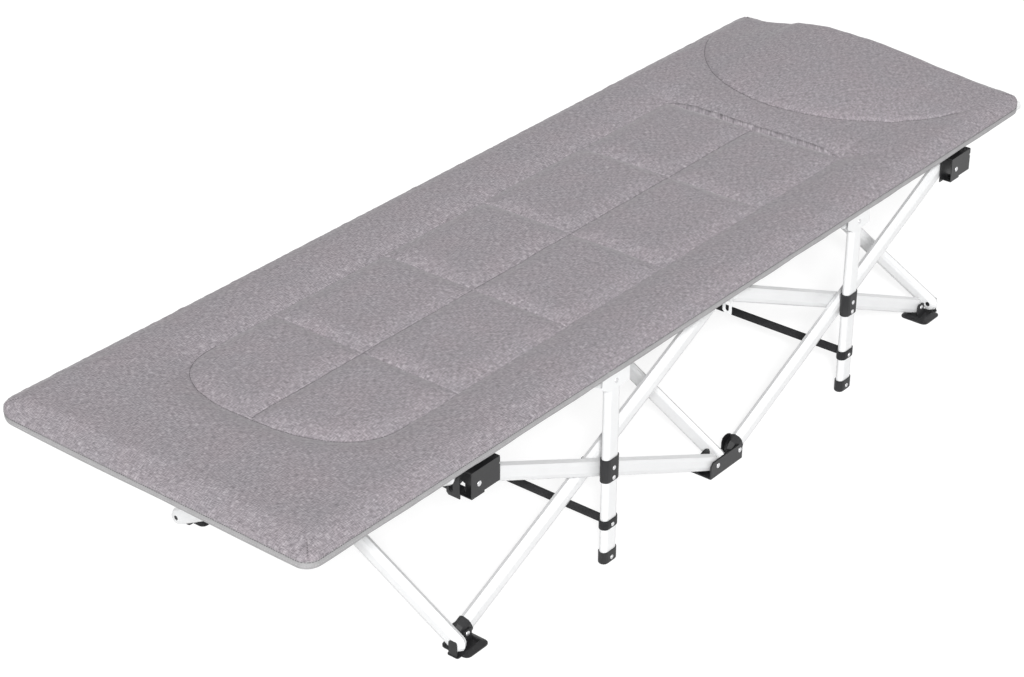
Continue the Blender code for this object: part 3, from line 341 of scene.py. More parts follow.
studio_world()
studio_floor()
soft_lamp("key_lamp", (-12.4, -10.4, 10.6), (0, 0, 0.2), 3.0, 3900)
soft_lamp("top_lamp", (0.9, 0.4, 3.6), (0.3, 0, 0.3), 2.6, 8)
print("studio ready")

# %% [markdown]
# The bed is drawn from a handful of sizes that the CAD model also uses. The pad's plan is a rectangle
# with rounded corners. Its seams lie at fixed places, except for the one at the foot, which sweeps round
# in a long U. The same sizes serve the pad and the band, so the two fit without adjustment.

# %% The bed's sizes
BED_HALF = (0.950, 0.3098)
CORNERS = {("foot", "near"): 0.022, ("foot", "far"): 0.046, ("head", "near"): 0.054, ("head", "far"): 0.032}

# The band of cloth: its top, how it rolls over the rails and hangs below them, and its sag between them.
CLOTH_THICK, CLOTH_TOP, HEM_DROP = 0.0012, 0.3530, 0.0155
ROLL_DOWN, ROLL_WIDE = 0.0028, 0.0065
SAG, SAG_EDGE = 0.015, 0.2887

# The pad's rim, and the crown that rises from it. The crown sinks a little between the ends.
PAD_RIM, PAD_LAP = 0.3490, 0.0004
CROWN, CROWN_WIDE, CROWN_POWER = 0.0166, 0.045, 1.4
CROWN_X = (-0.80, -0.55, 0.35, 0.60, 0.95)
CROWN_SUNK = (0.0, 0.0034, 0.0034, 0.0, 0.0016)

# The seams' places, the height of their bottoms, and how far the cloth rises between them.
CROSS_SEAMS = (-0.4993, -0.2439, 0.0022, 0.2725)
HEAD_SEAM, SIDE_SEAM, FOOT_SEAM = 0.522, 0.1840, -0.7400
FOOT_BEND, FOOT_ROUND, FOOT_SKEW = 0.1281, 2.6, -0.045
SEAM_Z, PUFF, PUFF_WIDE, BORDER_WIDE = 0.3533, 0.0078, 0.042, 0.058
DIP, DIP_WIDE, VALLEY_ROUND = 0.0062, 0.036, 0.0025

# The pillow: its middle, half sizes and height, and how full it is from the near side to the far side.
PILLOW_AT, PILLOW_HALF, PILLOW_HIGH = (0.900, 0.012), (0.295, 0.290), 0.035
PILLOW_Y = (-0.31, -0.14, -0.055, 0.035, 0.10, 0.165, 0.21, 0.255, 0.31)
PILLOW_FULL = (0.45, 0.71, 0.76, 0.87, 1.02, 0.99, 0.66, 0.22, 0.05)

for node_name in ("bed_cloth", "pad"):
    low, top = (tuple(round(v, 4) for v in corner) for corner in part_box(node_name))
    print("CAD", node_name, "from", low, "to", top)

# %% [markdown]
# Stuffed cloth rises beside a seam and levels out further off. One short function gives that rise from
# the distance to the seam: a quarter of an ellipse as it stands, and a gentler parabola when squared. The
# whole quilt is made by multiplying such rises together. Multiplying, instead of taking the nearest seam
# only, leaves soft corners in the cells.

# %% The rise of stuffed cloth
def swell(distance, width):
    share = np.clip(distance / width, 0, 1)
    return np.sqrt(np.maximum(0, 1 - (1 - share) ** 2))


def softened(distance):
    """A distance to a seam, changed so that the rise beside it starts from a rounded valley."""
    return np.hypot(distance, VALLEY_ROUND) - VALLEY_ROUND


def bell(distance, width):
    return np.exp(-((distance / width) ** 2))


def edge_gap(x, y):
    return np.minimum(BED_HALF[0] - abs(x), BED_HALF[1] - abs(y))


def cross_gap(x):
    return np.min([abs(x - s) for s in CROSS_SEAMS], axis=0)


def foot_seam_x(y):
    """The U-shaped seam: a rounded oval whose ends run into the long side seams."""
    share = np.maximum(0, 1 - np.abs(y / SIDE_SEAM) ** FOOT_ROUND) ** (1 / FOOT_ROUND)
    return FOOT_SEAM + (1 - share) * FOOT_BEND + FOOT_SKEW * y


def side_start(side):
    """Where the U runs into the near (-1) or the far (1) side seam."""
    return FOOT_SEAM + FOOT_BEND + FOOT_SKEW * SIDE_SEAM * side


def foot_seam_line(count=721):
    """Points along the U, close together where it bends."""
    turn = np.linspace(-np.pi / 2, np.pi / 2, count)
    y = SIDE_SEAM * np.sign(turn) * np.abs(np.sin(turn)) ** (2 / FOOT_ROUND)
    return foot_seam_x(y), y


print("a cell's rise at 5, 15 and 30 mm:", swell(np.array([0.005, 0.015, 0.030]), PUFF_WIDE).round(2))

# %% [markdown]
# Thread pulls the cloth into small puckers beside each seam, and foam is never quite even. Both are made
# from sums of waves with random phases. The random numbers come from a fixed seed for each place, so the
# same wrinkles come back in every run.

# %% Puckers and unevenness
def wander(seed, places, length):
    """Smooth random values near -1 to 1 that change over about length metres."""
    rng = np.random.default_rng(seed)
    total = np.zeros_like(places)
    for turn in range(7):
        rate = 2 * np.pi / length * (0.55 + 0.16 * turn)
        total += np.sin(places * rate + rng.uniform(0, 2 * np.pi)) * rng.uniform(0.5, 1.0)
    return total / 2.4


def rumple(seed, x, y, length):
    """The same over a surface: waves crossing in several directions."""
    rng = np.random.default_rng(seed)
    total = np.zeros_like(x)
    for turn in range(11):
        way = rng.uniform(0, np.pi)
        rate = 2 * np.pi / length * rng.uniform(0.6, 1.5)
        total += np.sin((x * np.cos(way) + y * np.sin(way)) * rate + rng.uniform(0, 2 * np.pi))
    return total / 4.2


def seam_pull(distance, along, seed):
    """Small puckers square to a seam, strongest just beside it."""
    near = np.exp(-distance / 0.011) * (1 - np.exp(-distance / 0.0022))
    return near * (0.45 * wander(seed, along, 0.017) + 0.55 * wander(seed + 1, along, 0.043))


print("puckers along a metre:", wander(3, np.linspace(0, 1, 5), 0.043).round(2))

# %% [markdown]
# The surface is laid out on lines along and across the bed, like graph paper. The lines are close
# together at the edges, where the foot seam curves and beside each straight seam, and further apart
# elsewhere. Some fall exactly on the straight seams, so that each seam stays crisp. A corner square of
# the paper is drawn in to a rounded one.

# %% Lines along and across the bed
LINE_WIDE, LINE_FINE = 0.0031, 0.0013
GROOVE_SIDE = 0.0040
FOOT_SPAN = (-0.754, -0.590)
END_SPANS = ((-0.950, -0.912), (0.912, 0.950))
SIDE_SPANS = ((-0.3098, -0.270), (0.270, 0.3098))
HINGE_PINS = (-0.3053, -0.2617, 0.3657, 0.4093)
FRAME_X = 0.052


def steps_between(low, high, step):
    return np.linspace(low, high, max(2, int(round((high - low) / step)) + 1))


def lines_through(marks, wide, fine, fine_spans):
    found = []
    for low, high in zip(marks[:-1], marks[1:]):
        middle = (low + high) / 2
        close = any(a < middle < b for a, b in fine_spans)
        found.append(steps_between(low, high, fine if close else wide)[:-1])
    return np.concatenate([*found, [marks[-1]]])


def paper(xs, ys):
    return np.meshgrid(xs, ys, indexing="ij")


seam_spans = [(s - GROOVE_SIDE, s + GROOVE_SIDE) for s in (*CROSS_SEAMS, HEAD_SEAM)]
marks_x = {s * v for s in (-1, 1) for v in (0.912, 0.928, 0.950)}
marks_x |= {*FOOT_SPAN, *CROSS_SEAMS, HEAD_SEAM, *HINGE_PINS, FRAME_X}
marks_x = sorted(marks_x | {v for span in seam_spans for v in span})
marks_y = (0.0, GROOVE_SIDE, 0.100, SIDE_SEAM, 0.190, 0.270, 0.2878, 0.3098)
marks_y = sorted({s * v for s in (-1, 1) for v in marks_y})
lines_x = lines_through(marks_x, LINE_WIDE, LINE_FINE, [FOOT_SPAN, *END_SPANS, *seam_spans])
lines_y = lines_through(marks_y, LINE_WIDE, LINE_FINE, [
    *SIDE_SPANS, (-0.190, -0.100), (-GROOVE_SIDE, GROOVE_SIDE), (0.100, 0.190),
])
print("quilt lines:", len(lines_x), "along and", len(lines_y), "across")


def corner_radius(x, y):
    foot = np.where(y > 0, CORNERS["foot", "far"], CORNERS["foot", "near"])
    head = np.where(y > 0, CORNERS["head", "far"], CORNERS["head", "near"])
    return np.where(x > 0, head, foot)


def corner_core(x, y, r):
    """The nearest point of the bed's plan that is at least r from its edge."""
    return (np.clip(v, -half + r, half - r) for v, half in zip((x, y), BED_HALF))


def round_corners(x, y, half):
    r = corner_radius(x, y)
    s = (abs(x) - (half[0] - r)) / r
    t = (abs(y) - (half[1] - r)) / r
    corner = (s > 0) & (t > 0)
    s1, t1 = np.clip(s, 0, 1), np.clip(t, 0, 1)
    new_x = np.sign(x) * (half[0] - r + r * s1 * np.sqrt(1 - t1 * t1 / 2))
    new_y = np.sign(y) * (half[1] - r + r * t1 * np.sqrt(1 - s1 * s1 / 2))
    return np.where(corner, new_x, x), np.where(corner, new_y, y)


# %% [markdown]
# The underside follows the band of cloth that it lies on. The cloth sags a little between the rails and
# rolls down over their rounded outer corners. The CAD model has the same sag, so the pad keeps its
# thickness. This part is out of sight, and needs few lines.

# %% The underside's sag
SAG_X = np.array([
    -0.95, -0.9364, -0.928, -0.8225, -0.745, *CROSS_SEAMS, HEAD_SEAM, 0.62, 0.72, 0.80, 0.928, 0.9364, 0.95,
])
SAG_SHARE = np.array([0, 0.15, 0.35, 0.72, 1, 1, 1, 1, 1, 1, 0.95, 0.8, 0.6, 0.3, 0.12, 0])


def cloth_height(x, y):
    across = np.clip(1 - (abs(y) / SAG_EDGE) ** 2, 0, 1)
    roll = ROLL_DOWN * np.clip(1 - edge_gap(x, y) / ROLL_WIDE, 0, 1) ** 2
    return CLOTH_TOP - SAG * np.interp(x, SAG_X, SAG_SHARE) * across - roll


print("deepest sag:", round(CLOTH_TOP - float(cloth_height(np.array(-0.3), np.array(0.0))), 4), "m")

# %% [markdown]
# The quilt's surface is a height for each point of the plan. The border is the crown at the edge, joined
# to the inner field by the deep side, head and foot seams. Inside, the centre seam and the cross seams
# are shallower. At the head, the pillow is added, with a crease round its foot where the cover is drawn
# down beside it.

# %% The height of the quilt
def outline_distance(x, y):
    """Distance to the long sides of the seam outline and the U at its foot."""
    u_x, u_y = foot_seam_line()
    best = np.hypot(np.maximum(side_start(np.sign(y)) - x, 0), abs(y) - SIDE_SEAM)
    for row in np.nonzero(x[:, 0] < -0.50)[0]:
        gap = np.hypot(x[row][:, None] - u_x[None, :], y[row][:, None] - u_y[None, :])
        best[row] = np.minimum(best[row], gap.min(axis=1))
    return best


def pillow_height(x, y):
    oval = ((x - PILLOW_AT[0]) / PILLOW_HALF[0]) ** 2 + ((y - PILLOW_AT[1]) / PILLOW_HALF[1]) ** 2
    soft = 0.78 + 0.72 * np.clip((x - 0.70) / 0.20, 0, 1)
    crease = bell(np.sqrt(oval) - 1, 0.014) * np.clip((0.86 - x) / 0.12, 0, 1)
    full = 1 + (np.interp(y, PILLOW_Y, PILLOW_FULL) - 1) * np.clip((x - 0.78) / 0.12, 0, 1)
    return PILLOW_HIGH * full * np.clip(1 - oval, 0, 1) ** soft - 0.0026 * crease


def quilt_height(x, y):
    edge = edge_gap(x, y)
    inside = (x > foot_seam_x(y)) & (x < HEAD_SEAM) & (abs(y) < SIDE_SEAM)
    ring = outline_distance(x, y)
    soft_ring = softened(ring)
    to_head = softened(abs(HEAD_SEAM - x))
    field = (swell(soft_ring, PUFF_WIDE) * swell(to_head, PUFF_WIDE)) ** 2
    dip = 1 - (swell(softened(abs(y)), DIP_WIDE) * swell(softened(cross_gap(x)), DIP_WIDE)) ** 2
    inner = SEAM_Z + (PUFF - DIP * dip) * field
    head_gap = softened(np.hypot(np.maximum(x - HEAD_SEAM, 0), np.maximum(abs(y) - SIDE_SEAM, 0)))
    outside = np.where(x > HEAD_SEAM, head_gap, soft_ring)
    rise = CROWN - np.interp(x, CROWN_X, CROWN_SUNK)
    crown = PAD_RIM + rise * swell(edge, CROWN_WIDE) ** CROWN_POWER
    outer = SEAM_Z + (PAD_RIM + rise - SEAM_Z) * swell(outside, BORDER_WIDE) ** 2
    end = swell(BED_HALF[0] - abs(x), CROWN_WIDE)
    border = np.minimum(crown, outer) + pillow_height(x, y) * end
    return np.where(inside, inner, border), inside, ring, edge


print("quilt height functions ready")

# %% [markdown]
# The detail is laid over that: puckers beside each seam, the narrow groove that the thread pulls along its
# bottom, and the unevenness of the foam. The groove of the U is shallower and wider than the straight
# ones, because the camera looks across it at a low angle.

# %% The quilt's detail
PUCKERS = {"outline": 0.0009, "head": 0.0004, "cells": 0.0008, "edge": 0.0011}
CELL_GROOVE, CELL_GROOVE_WIDE = 0.0017, 0.0016


def quilt_detail(x, y, inside, ring, edge):
    far = np.full_like(x, 1.0)
    seam = np.where(x < HEAD_SEAM + 0.004, ring, far)
    head = np.where(abs(y) < SIDE_SEAM, abs(x - HEAD_SEAM), far)
    centre = np.where(inside, abs(y), far)
    cross = np.where(inside, cross_gap(x), far)
    lift = PUCKERS["outline"] * seam_pull(seam, x + 0.7 * np.sign(y) + 0.8 * y * (x < -0.55), 3)
    lift += PUCKERS["head"] * seam_pull(head, y, 5)
    lift += PUCKERS["cells"] * seam_pull(centre, x, 9) + PUCKERS["cells"] * seam_pull(cross, y + x, 11)
    lift += PUCKERS["edge"] * seam_pull(np.maximum(edge, 0), x + y, 13)
    bent = np.clip((-0.56 - x) / 0.06, 0, 1)
    lift -= (0.0011 + 0.0003 * bent) * bell(seam, 0.0016 + 0.0010 * bent)
    for distance in (head, centre, cross):
        lift -= CELL_GROOVE * bell(distance, CELL_GROOVE_WIDE)
    calm = np.clip(edge / 0.02, 0, 1)
    lift += calm * (0.0007 * rumple(21, x, y, 0.11) + 0.00025 * rumple(22, x, y, 0.035))
    return lift


grid_x, grid_y = paper(lines_x, lines_y)
high, inside, ring, edge = quilt_height(grid_x, grid_y)
high = high + quilt_detail(grid_x, grid_y, inside, ring, edge) * np.clip(edge / 0.002, 0, 1)
print("quilt top from", round(float(high.min()), 4), "to", round(float(high.max()), 4), "m")

# %% [markdown]
# Real wadding pushes the cloth up between its seams and lets it buckle a little beside them, which is
# hard to draw by rule. So a coarse copy of the top is run through Blender's cloth simulation: it is held
# at every seam and along the edge, given slightly more cloth than it needs, and blown up from below. Only
# the difference that this makes is kept. It is far larger than real wadding allows, so it is smoothed,
# limited to 1.6 mm, faded out beside the seams and only then added to the fine surface.

# %% A short cloth simulation for the loose parts
LOOSE_HALF = (0.9494, 0.3092)
LOOSE_STEP, LOOSE_MOST, LOOSE_FADE = 0.0072, 0.0016, 0.018
LOOSE_FRAMES, LOOSE_PASSES = 20, 5
LOOSE_SETTINGS = {
    "quality": 4, "mass": 0.25, "tension_stiffness": 8, "compression_stiffness": 8, "shear_stiffness": 4,
    "bending_stiffness": 0.15, "vertex_group_mass": "held", "shrink_min": -0.022,
    "use_pressure": True, "uniform_pressure_force": 1.2,
}


def grid_faces(rows, columns, offset, flip):
    number = offset + np.arange(rows * columns).reshape(rows, columns)
    quads = np.stack([number[:-1, :-1], number[1:, :-1], number[1:, 1:], number[:-1, 1:]], axis=2)
    quads = quads.reshape(-1, 4)
    return quads[:, ::-1] if flip else quads


def cloth_loosening():
    xs = lines_through([-LOOSE_HALF[0], *CROSS_SEAMS, HEAD_SEAM, LOOSE_HALF[0]], LOOSE_STEP, LOOSE_STEP, [])
    ys = [-LOOSE_HALF[1], -SIDE_SEAM, 0.0, SIDE_SEAM, LOOSE_HALF[1]]
    ys = lines_through(ys, LOOSE_STEP, LOOSE_STEP, [])
    x, y = paper(xs, ys)
    z, within, to_ring, to_edge = quilt_height(x, y)
    px, py = round_corners(x, y, BED_HALF)
    points = np.stack([px, py, z], axis=2).reshape(-1, 3)
    faces = grid_faces(*x.shape, 0, False).tolist()
    loose = placed("loose_cloth", mesh_of("loose_cloth", points.tolist(), faces))
    held = (to_edge < 0.6 * LOOSE_STEP) | ((to_ring < 0.6 * LOOSE_STEP) & (x < HEAD_SEAM))
    held |= within & ((abs(y) < 0.3 * LOOSE_STEP) | (cross_gap(x) < 0.3 * LOOSE_STEP))
    held |= (abs(x - HEAD_SEAM) < 0.3 * LOOSE_STEP) & (abs(y) < SIDE_SEAM)
    group = loose.vertex_groups.new(name="held")
    group.add([int(k) for k in np.nonzero(held.reshape(-1))[0]], 1.0, "REPLACE")
    cloth = loose.modifiers.new("cloth", "CLOTH")
    for key, value in LOOSE_SETTINGS.items():
        setattr(cloth.settings, key, value)
    cloth.settings.effector_weights.gravity = 0
    cloth.point_cache.frame_start, cloth.point_cache.frame_end = 1, LOOSE_FRAMES
    for number in range(1, LOOSE_FRAMES + 1):
        bpy.context.scene.frame_set(number)
    shaped = loose.evaluated_get(bpy.context.evaluated_depsgraph_get())
    moved = np.zeros(len(points) * 3)
    shaped.data.vertices.foreach_get("co", moved)
    rise = (moved.reshape(-1, 3) - points)[:, 2].reshape(x.shape)
    for turn in range(LOOSE_PASSES):
        rise[1:-1] = (rise[:-2] + 2 * rise[1:-1] + rise[2:]) / 4
        rise[:, 1:-1] = (rise[:, :-2] + 2 * rise[:, 1:-1] + rise[:, 2:]) / 4
    bpy.data.objects.remove(loose)
    bpy.context.scene.frame_set(1)
    print("cloth moved by", round(float(abs(rise).max()) * 1000, 2), "mm at most, before the limit")
    return xs, ys, LOOSE_MOST * np.tanh(rise / LOOSE_MOST)


def spread(xs, ys, values, x, y):
    """Values on a coarse grid, read at any point by a smooth step between the lines."""
    i = np.clip(np.searchsorted(xs, x) - 1, 0, len(xs) - 2)
    j = np.clip(np.searchsorted(ys, y) - 1, 0, len(ys) - 2)
    s = np.clip((x - xs[i]) / (xs[i + 1] - xs[i]), 0, 1)
    t = np.clip((y - ys[j]) / (ys[j + 1] - ys[j]), 0, 1)
    s, t = s * s * (3 - 2 * s), t * t * (3 - 2 * t)
    low = values[i, j] * (1 - s) + values[i + 1, j] * s
    top = values[i, j + 1] * (1 - s) + values[i + 1, j + 1] * s
    return low * (1 - t) + top * t


sim_x, sim_y, sim_rise = cloth_loosening()
from_seams = np.minimum(ring, np.minimum(edge, abs(grid_x - HEAD_SEAM)))
inner_seams = np.minimum(abs(grid_y), cross_gap(grid_x))
free = np.where(inside, np.minimum(from_seams, inner_seams), from_seams)
high = high + np.clip(free / LOOSE_FADE, 0, 1) * spread(sim_x, sim_y, sim_rise, grid_x, grid_y)

# %% [markdown]
# At its edge the pad bulges out a little over the seam that joins it to the band, and the seam is tucked
# in underneath. So each point near the edge is also shifted outwards. At the four corners the cover is
# taken in with a short dart, a groove that runs down over the edge, with small tucks on both sides.

# %% The edge and its darts
BULGE_WIDE, DART_LONG, DART_WIDE = 0.0125, 0.038, 0.0013
DART_DEEP, DART_IN, TUCK = 0.0030, 0.0013, 0.0009


def edge_shift(edge):
    """How far the cloth bulges outwards over its edge seam."""
    share = np.clip(edge / BULGE_WIDE, 0, 1)
    return (1 - share) * (0.0004 + 0.0024 * np.sin(np.pi * share ** 0.75))


def facing(points):
    """Which way a surface faces at each of its points."""
    normal = np.cross(np.gradient(points, axis=0), np.gradient(points, axis=1))
    return normal / np.maximum(1e-12, np.linalg.norm(normal, axis=2, keepdims=True))


plan_x, plan_y = round_corners(grid_x, grid_y, BED_HALF)
corner = corner_radius(grid_x, grid_y)
core_x, core_y = corner_core(plan_x, plan_y, corner)
out_x, out_y = plan_x - core_x, plan_y - core_y
reach = np.hypot(out_x, out_y)
rim_gap = np.where(reach > 0, corner - reach, corner)
push = np.where(rim_gap < corner, edge_shift(np.maximum(rim_gap, 0)), 0)
safe = np.maximum(reach, 1e-9)
from_end, from_side = BED_HALF[0] - abs(grid_x), BED_HALF[1] - abs(grid_y)
askew = abs(from_end - from_side) / math.sqrt(2)
along = (from_end + from_side) / 2
fade = np.clip(1 - along / DART_LONG, 0, 1) ** 0.7
dart = bell(askew, DART_WIDE) * fade
tucks = np.exp(-askew / 0.010) * (1 - np.exp(-askew / 0.002)) * fade * np.sin(along * 900 + askew * 800)
high = high - (DART_DEEP * dart - TUCK * tucks) * np.clip(along / 0.003, 0, 1)
shift = push - DART_IN * dart * (rim_gap < 0.018)
quilt_points = np.stack([plan_x + out_x / safe * shift, plan_y + out_y / safe * shift, high], axis=2)
quilt_facing = facing(quilt_points)
print("bulge at the edge:", round(float(push.max()) * 1000, 2), "mm")

# %% [markdown]
# When the frame folds, its rails rise from the legs in a V and carry the pad up with them. One stiff pad
# could not do that, so it is made as six sections: two long ones for each pair of rails, and a short
# strip over each pair of legs. Each section is a closed solid. Its fine top and coarse underside are
# joined by a zip: two rows of points with different spacing, stitched together in order. The way the
# cloth faces was worked out once for the whole top, so no line shows where two sections meet.

# %% Zipping two rows of points
def zip_rows(fine, fine_at, coarse, coarse_at):
    """Triangles between two rows of point numbers, in order of their places along the row."""
    triangles = []
    i = j = 0
    while i < len(fine) - 1 or j < len(coarse) - 1:
        step_fine = j == len(coarse) - 1 or (
            i < len(fine) - 1 and fine_at[i + 1] <= coarse_at[j + 1] + 1e-9
        )
        if step_fine:
            triangles.append((coarse[j], fine[i + 1], fine[i]))
            i += 1
        else:
            triangles.append((coarse[j], coarse[j + 1], fine[i]))
            j += 1
    return triangles


def border_rows(rows, columns, offset):
    """Point numbers round a grid, as four rows that follow each other anticlockwise."""
    number = offset + np.arange(rows * columns).reshape(rows, columns)
    return number[:, 0], number[-1, :], number[::-1, -1], number[0, ::-1]


def laid_out(values, half):
    """Lengths of cloth along a line: where the crown turns down, it is longer than the plan."""
    plan = np.linspace(-half, half, 4001)
    rise = CROWN * swell(half - abs(plan), CROWN_WIDE) ** CROWN_POWER
    length = np.concatenate([[0], np.cumsum(np.hypot(np.diff(plan), np.diff(rise)))])
    return np.interp(values, plan, length - length[2000])


def joined_solid(name, top, top_normal, xs, ys, low, low_x, low_y, finish):
    """A closed section from its fine top and coarse underside."""
    shape, low_shape = top.shape[:2], low.shape[:2]
    offset = shape[0] * shape[1]
    faces = [*grid_faces(*shape, 0, False), *grid_faces(*low_shape, offset, True)]
    smooth_faces = len(faces)
    fine_at = (xs, ys, -xs[::-1], -ys[::-1])
    coarse_at = (low_x, low_y, -low_x[::-1], -low_y[::-1])
    rows = zip(border_rows(*shape, 0), fine_at, border_rows(*low_shape, offset), coarse_at)
    for row in rows:
        faces += zip_rows(*row)
    points = np.concatenate([top.reshape(-1, 3), low.reshape(-1, 3)])
    mesh = mesh_of(name, points.tolist(), [tuple(int(k) for k in f) for f in faces])
    mesh.update()

    corner_point = np.zeros(len(mesh.loops), int)
    mesh.loops.foreach_get("vertex_index", corner_point)
    sheets = (laid_out(xs, BED_HALF[0]), laid_out(ys, BED_HALF[1])), (low_x, low_y)
    flat_uv = np.concatenate([np.stack(paper(*sheet), axis=2).reshape(-1, 2) for sheet in sheets])
    layer = mesh.uv_layers.new(name=CLOTH_UV)
    layer.data.foreach_set("uv", flat_uv[corner_point].astype(np.float32).ravel())

    normals = np.concatenate([top_normal.reshape(-1, 3), -facing(low).reshape(-1, 3)])[corner_point]
    flat = np.zeros(len(mesh.polygons) * 3)
    mesh.polygons.foreach_get("normal", flat)
    normals[4 * smooth_faces:] = np.repeat(flat.reshape(-1, 3)[smooth_faces:], 3, axis=0)
    mesh.shade_smooth()
    mesh.normals_split_custom_set(normals.tolist())
    mesh.materials.append(finish)
    return placed(name, mesh)


print("zip ready")

# %% [markdown]
# Each section now rides the rail or the leg that carries it. The two sides of the frame also come
# together as it folds.

# %% The six sections of the pad
SECTIONS = (
    ("foot_end", -BED_HALF[0], HINGE_PINS[0], "left_foot_rail_end"),
    ("foot_leg", HINGE_PINS[0], HINGE_PINS[1], "left_foot_leg"),
    ("foot_mid", HINGE_PINS[1], FRAME_X, "left_foot_rail_mid"),
    ("head_mid", FRAME_X, HINGE_PINS[2], "left_head_rail_mid"),
    ("head_leg", HINGE_PINS[2], HINGE_PINS[3], "left_head_leg"),
    ("head_end", HINGE_PINS[3], BED_HALF[0], "left_head_rail_end"),
)
UNDER_WIDE, UNDER_FINE, UNDER_GAP = 0.030, 0.0037, 0.0009

pad_low_x = lines_through(marks_x, UNDER_WIDE, UNDER_FINE, END_SPANS)
pad_low_y = lines_through(marks_y, UNDER_WIDE, UNDER_FINE, SIDE_SPANS)


def pad_underside(xs, ys):
    x, y = paper(xs, ys)
    px, py = round_corners(x, y, (BED_HALF[0] + PAD_LAP, BED_HALF[1] + PAD_LAP))
    return np.stack([px, py, cloth_height(x, y) + UNDER_GAP], axis=2)


def between(values, low, high):
    return np.nonzero((values > low - 1e-6) & (values < high + 1e-6))[0]


for place, start, stop, carrier in SECTIONS:
    rows = between(lines_x, start, stop)
    low_rows = pad_low_x[between(pad_low_x, start, stop)]
    section = joined_solid(
        "pad_" + place, quilt_points[rows], quilt_facing[rows], lines_x[rows], lines_y,
        pad_underside(low_rows, pad_low_y), low_rows, pad_low_y, quilt_cloth,
    )
    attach(section, carrier)
    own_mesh(section)
    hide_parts("pad")
    print(section.name, "has", len(section.data.polygons), "faces")

# %% [markdown]
# The band is one cloth with the bed: it spans the frame under the pad, turns down over the rails and is
# hemmed below them. It is made as a surface with no thickness, laid out on lines like the pad, and
# Solidify then gives it the 1.2 mm of the real cloth. A little waviness keeps the long hem from looking
# like a strip of card.

# %% The band and bed cloth
ROLL_LINES = (0.0006, 0.0015, 0.0028, 0.0046)
FULL_DROP = HEM_DROP - ROLL_DOWN
DROP_LINES = (0.0006, 0.0020, 0.0042, 0.0056, 0.0062, 0.0090, 0.0108, FULL_DROP)
HEM_TOP, HEM_STEP, HEM_TUCK = 0.0058, 0.0003, 0.0002


def hanging(x, y, drop):
    """Where the band hangs, that far below a point of the outline, and the way out of the bed there."""
    core = corner_core(x, y, float(corner_radius(x, y)))
    away = Vector([v - c for v, c in zip((x, y), core)]).normalized()
    wave = 0.00035 * math.sin(x * 61 + y * 23) + 0.00025 * math.sin(x * 117 - y * 41 + 1.3)
    out = HEM_STEP * (drop > HEM_TOP) - HEM_TUCK * (drop == FULL_DROP) + min(0.0, wave) * drop / FULL_DROP
    low = CLOTH_TOP - ROLL_DOWN - drop + 0.0005 * math.sin(x * 37 + y * 19) * (drop > 0.009)
    return (x + away.x * out, y + away.y * out, low), away


def band_section(place, start, stop):
    xs = pad_low_x[between(pad_low_x, start, stop)]
    xs = np.unique(np.concatenate([steps_between(a, b, 0.012) for a, b in zip(xs[:-1], xs[1:])]).round(6))
    rolled = [s * (BED_HALF[1] - v) for s in (-1, 1) for v in ROLL_LINES]
    ys = np.unique(np.concatenate([pad_low_y, rolled]).round(6))
    at_foot, at_head = start == -BED_HALF[0], stop == BED_HALF[0]
    for at_end, way in ((at_foot, -1), (at_head, 1)):
        if at_end:
            xs = np.unique(np.concatenate([xs, [way * (BED_HALF[0] - v) for v in ROLL_LINES]]))
    x, y = paper(xs, ys)
    px, py = round_corners(x, y, BED_HALF)
    points = [tuple(p) for p in np.stack([px, py, cloth_height(x, y)], axis=2).reshape(-1, 3)]
    uvs = [tuple(p) for p in np.stack([x, y], axis=2).reshape(-1, 2)]
    faces = grid_faces(*x.shape, 0, False).tolist()
    number = np.arange(x.size).reshape(x.shape)
    near, far = number[:, 0].tolist(), number[::-1, -1].tolist()
    if at_foot:
        chains = [[*far, *number[0, -2:0:-1].tolist(), *near]]
    elif at_head:
        chains = [[*near, *number[-1, 1:-1].tolist(), *far]]
    else:
        chains = [near, far]
    for chain in chains:
        last = chain
        for drop in DROP_LINES:
            row = list(range(len(points), len(points) + len(chain)))
            for k in chain:
                point, away = hanging(*points[k][:2], drop)
                points.append(point)
                uvs.append((uvs[k][0] + away.x * drop, uvs[k][1] + away.y * drop))
            faces += zip(last[:-1], row[:-1], row[1:], last[1:])
            last = row
    mesh = mesh_of("band_" + place, points, faces)
    layer = mesh.uv_layers.new(name=CLOTH_UV)
    for loop in mesh.loops:
        layer.data[loop.index].uv = uvs[loop.vertex_index]
    mesh.shade_smooth()
    mesh.materials.append(band_cloth)
    made = placed("band_" + place, mesh)
    thick = made.modifiers.new("cloth", "SOLIDIFY")
    thick.thickness, thick.offset = CLOTH_THICK, -1
    return made


def applied(piece):
    """The piece with its modifiers made real."""
    shaped = piece.evaluated_get(bpy.context.evaluated_depsgraph_get())
    mesh = bpy.data.meshes.new_from_object(shaped)
    mesh.name = piece.name
    mesh.set_sharp_from_angle(angle=math.radians(50))
    piece.modifiers.clear()
    piece.data = mesh
    return piece


for place, start, stop, carrier in SECTIONS:
    band = applied(band_section(place, start, stop))
    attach(band, carrier)
    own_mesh(band)
    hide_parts("bed_cloth")
    print(band.name, "has", len(band.data.polygons), "faces")
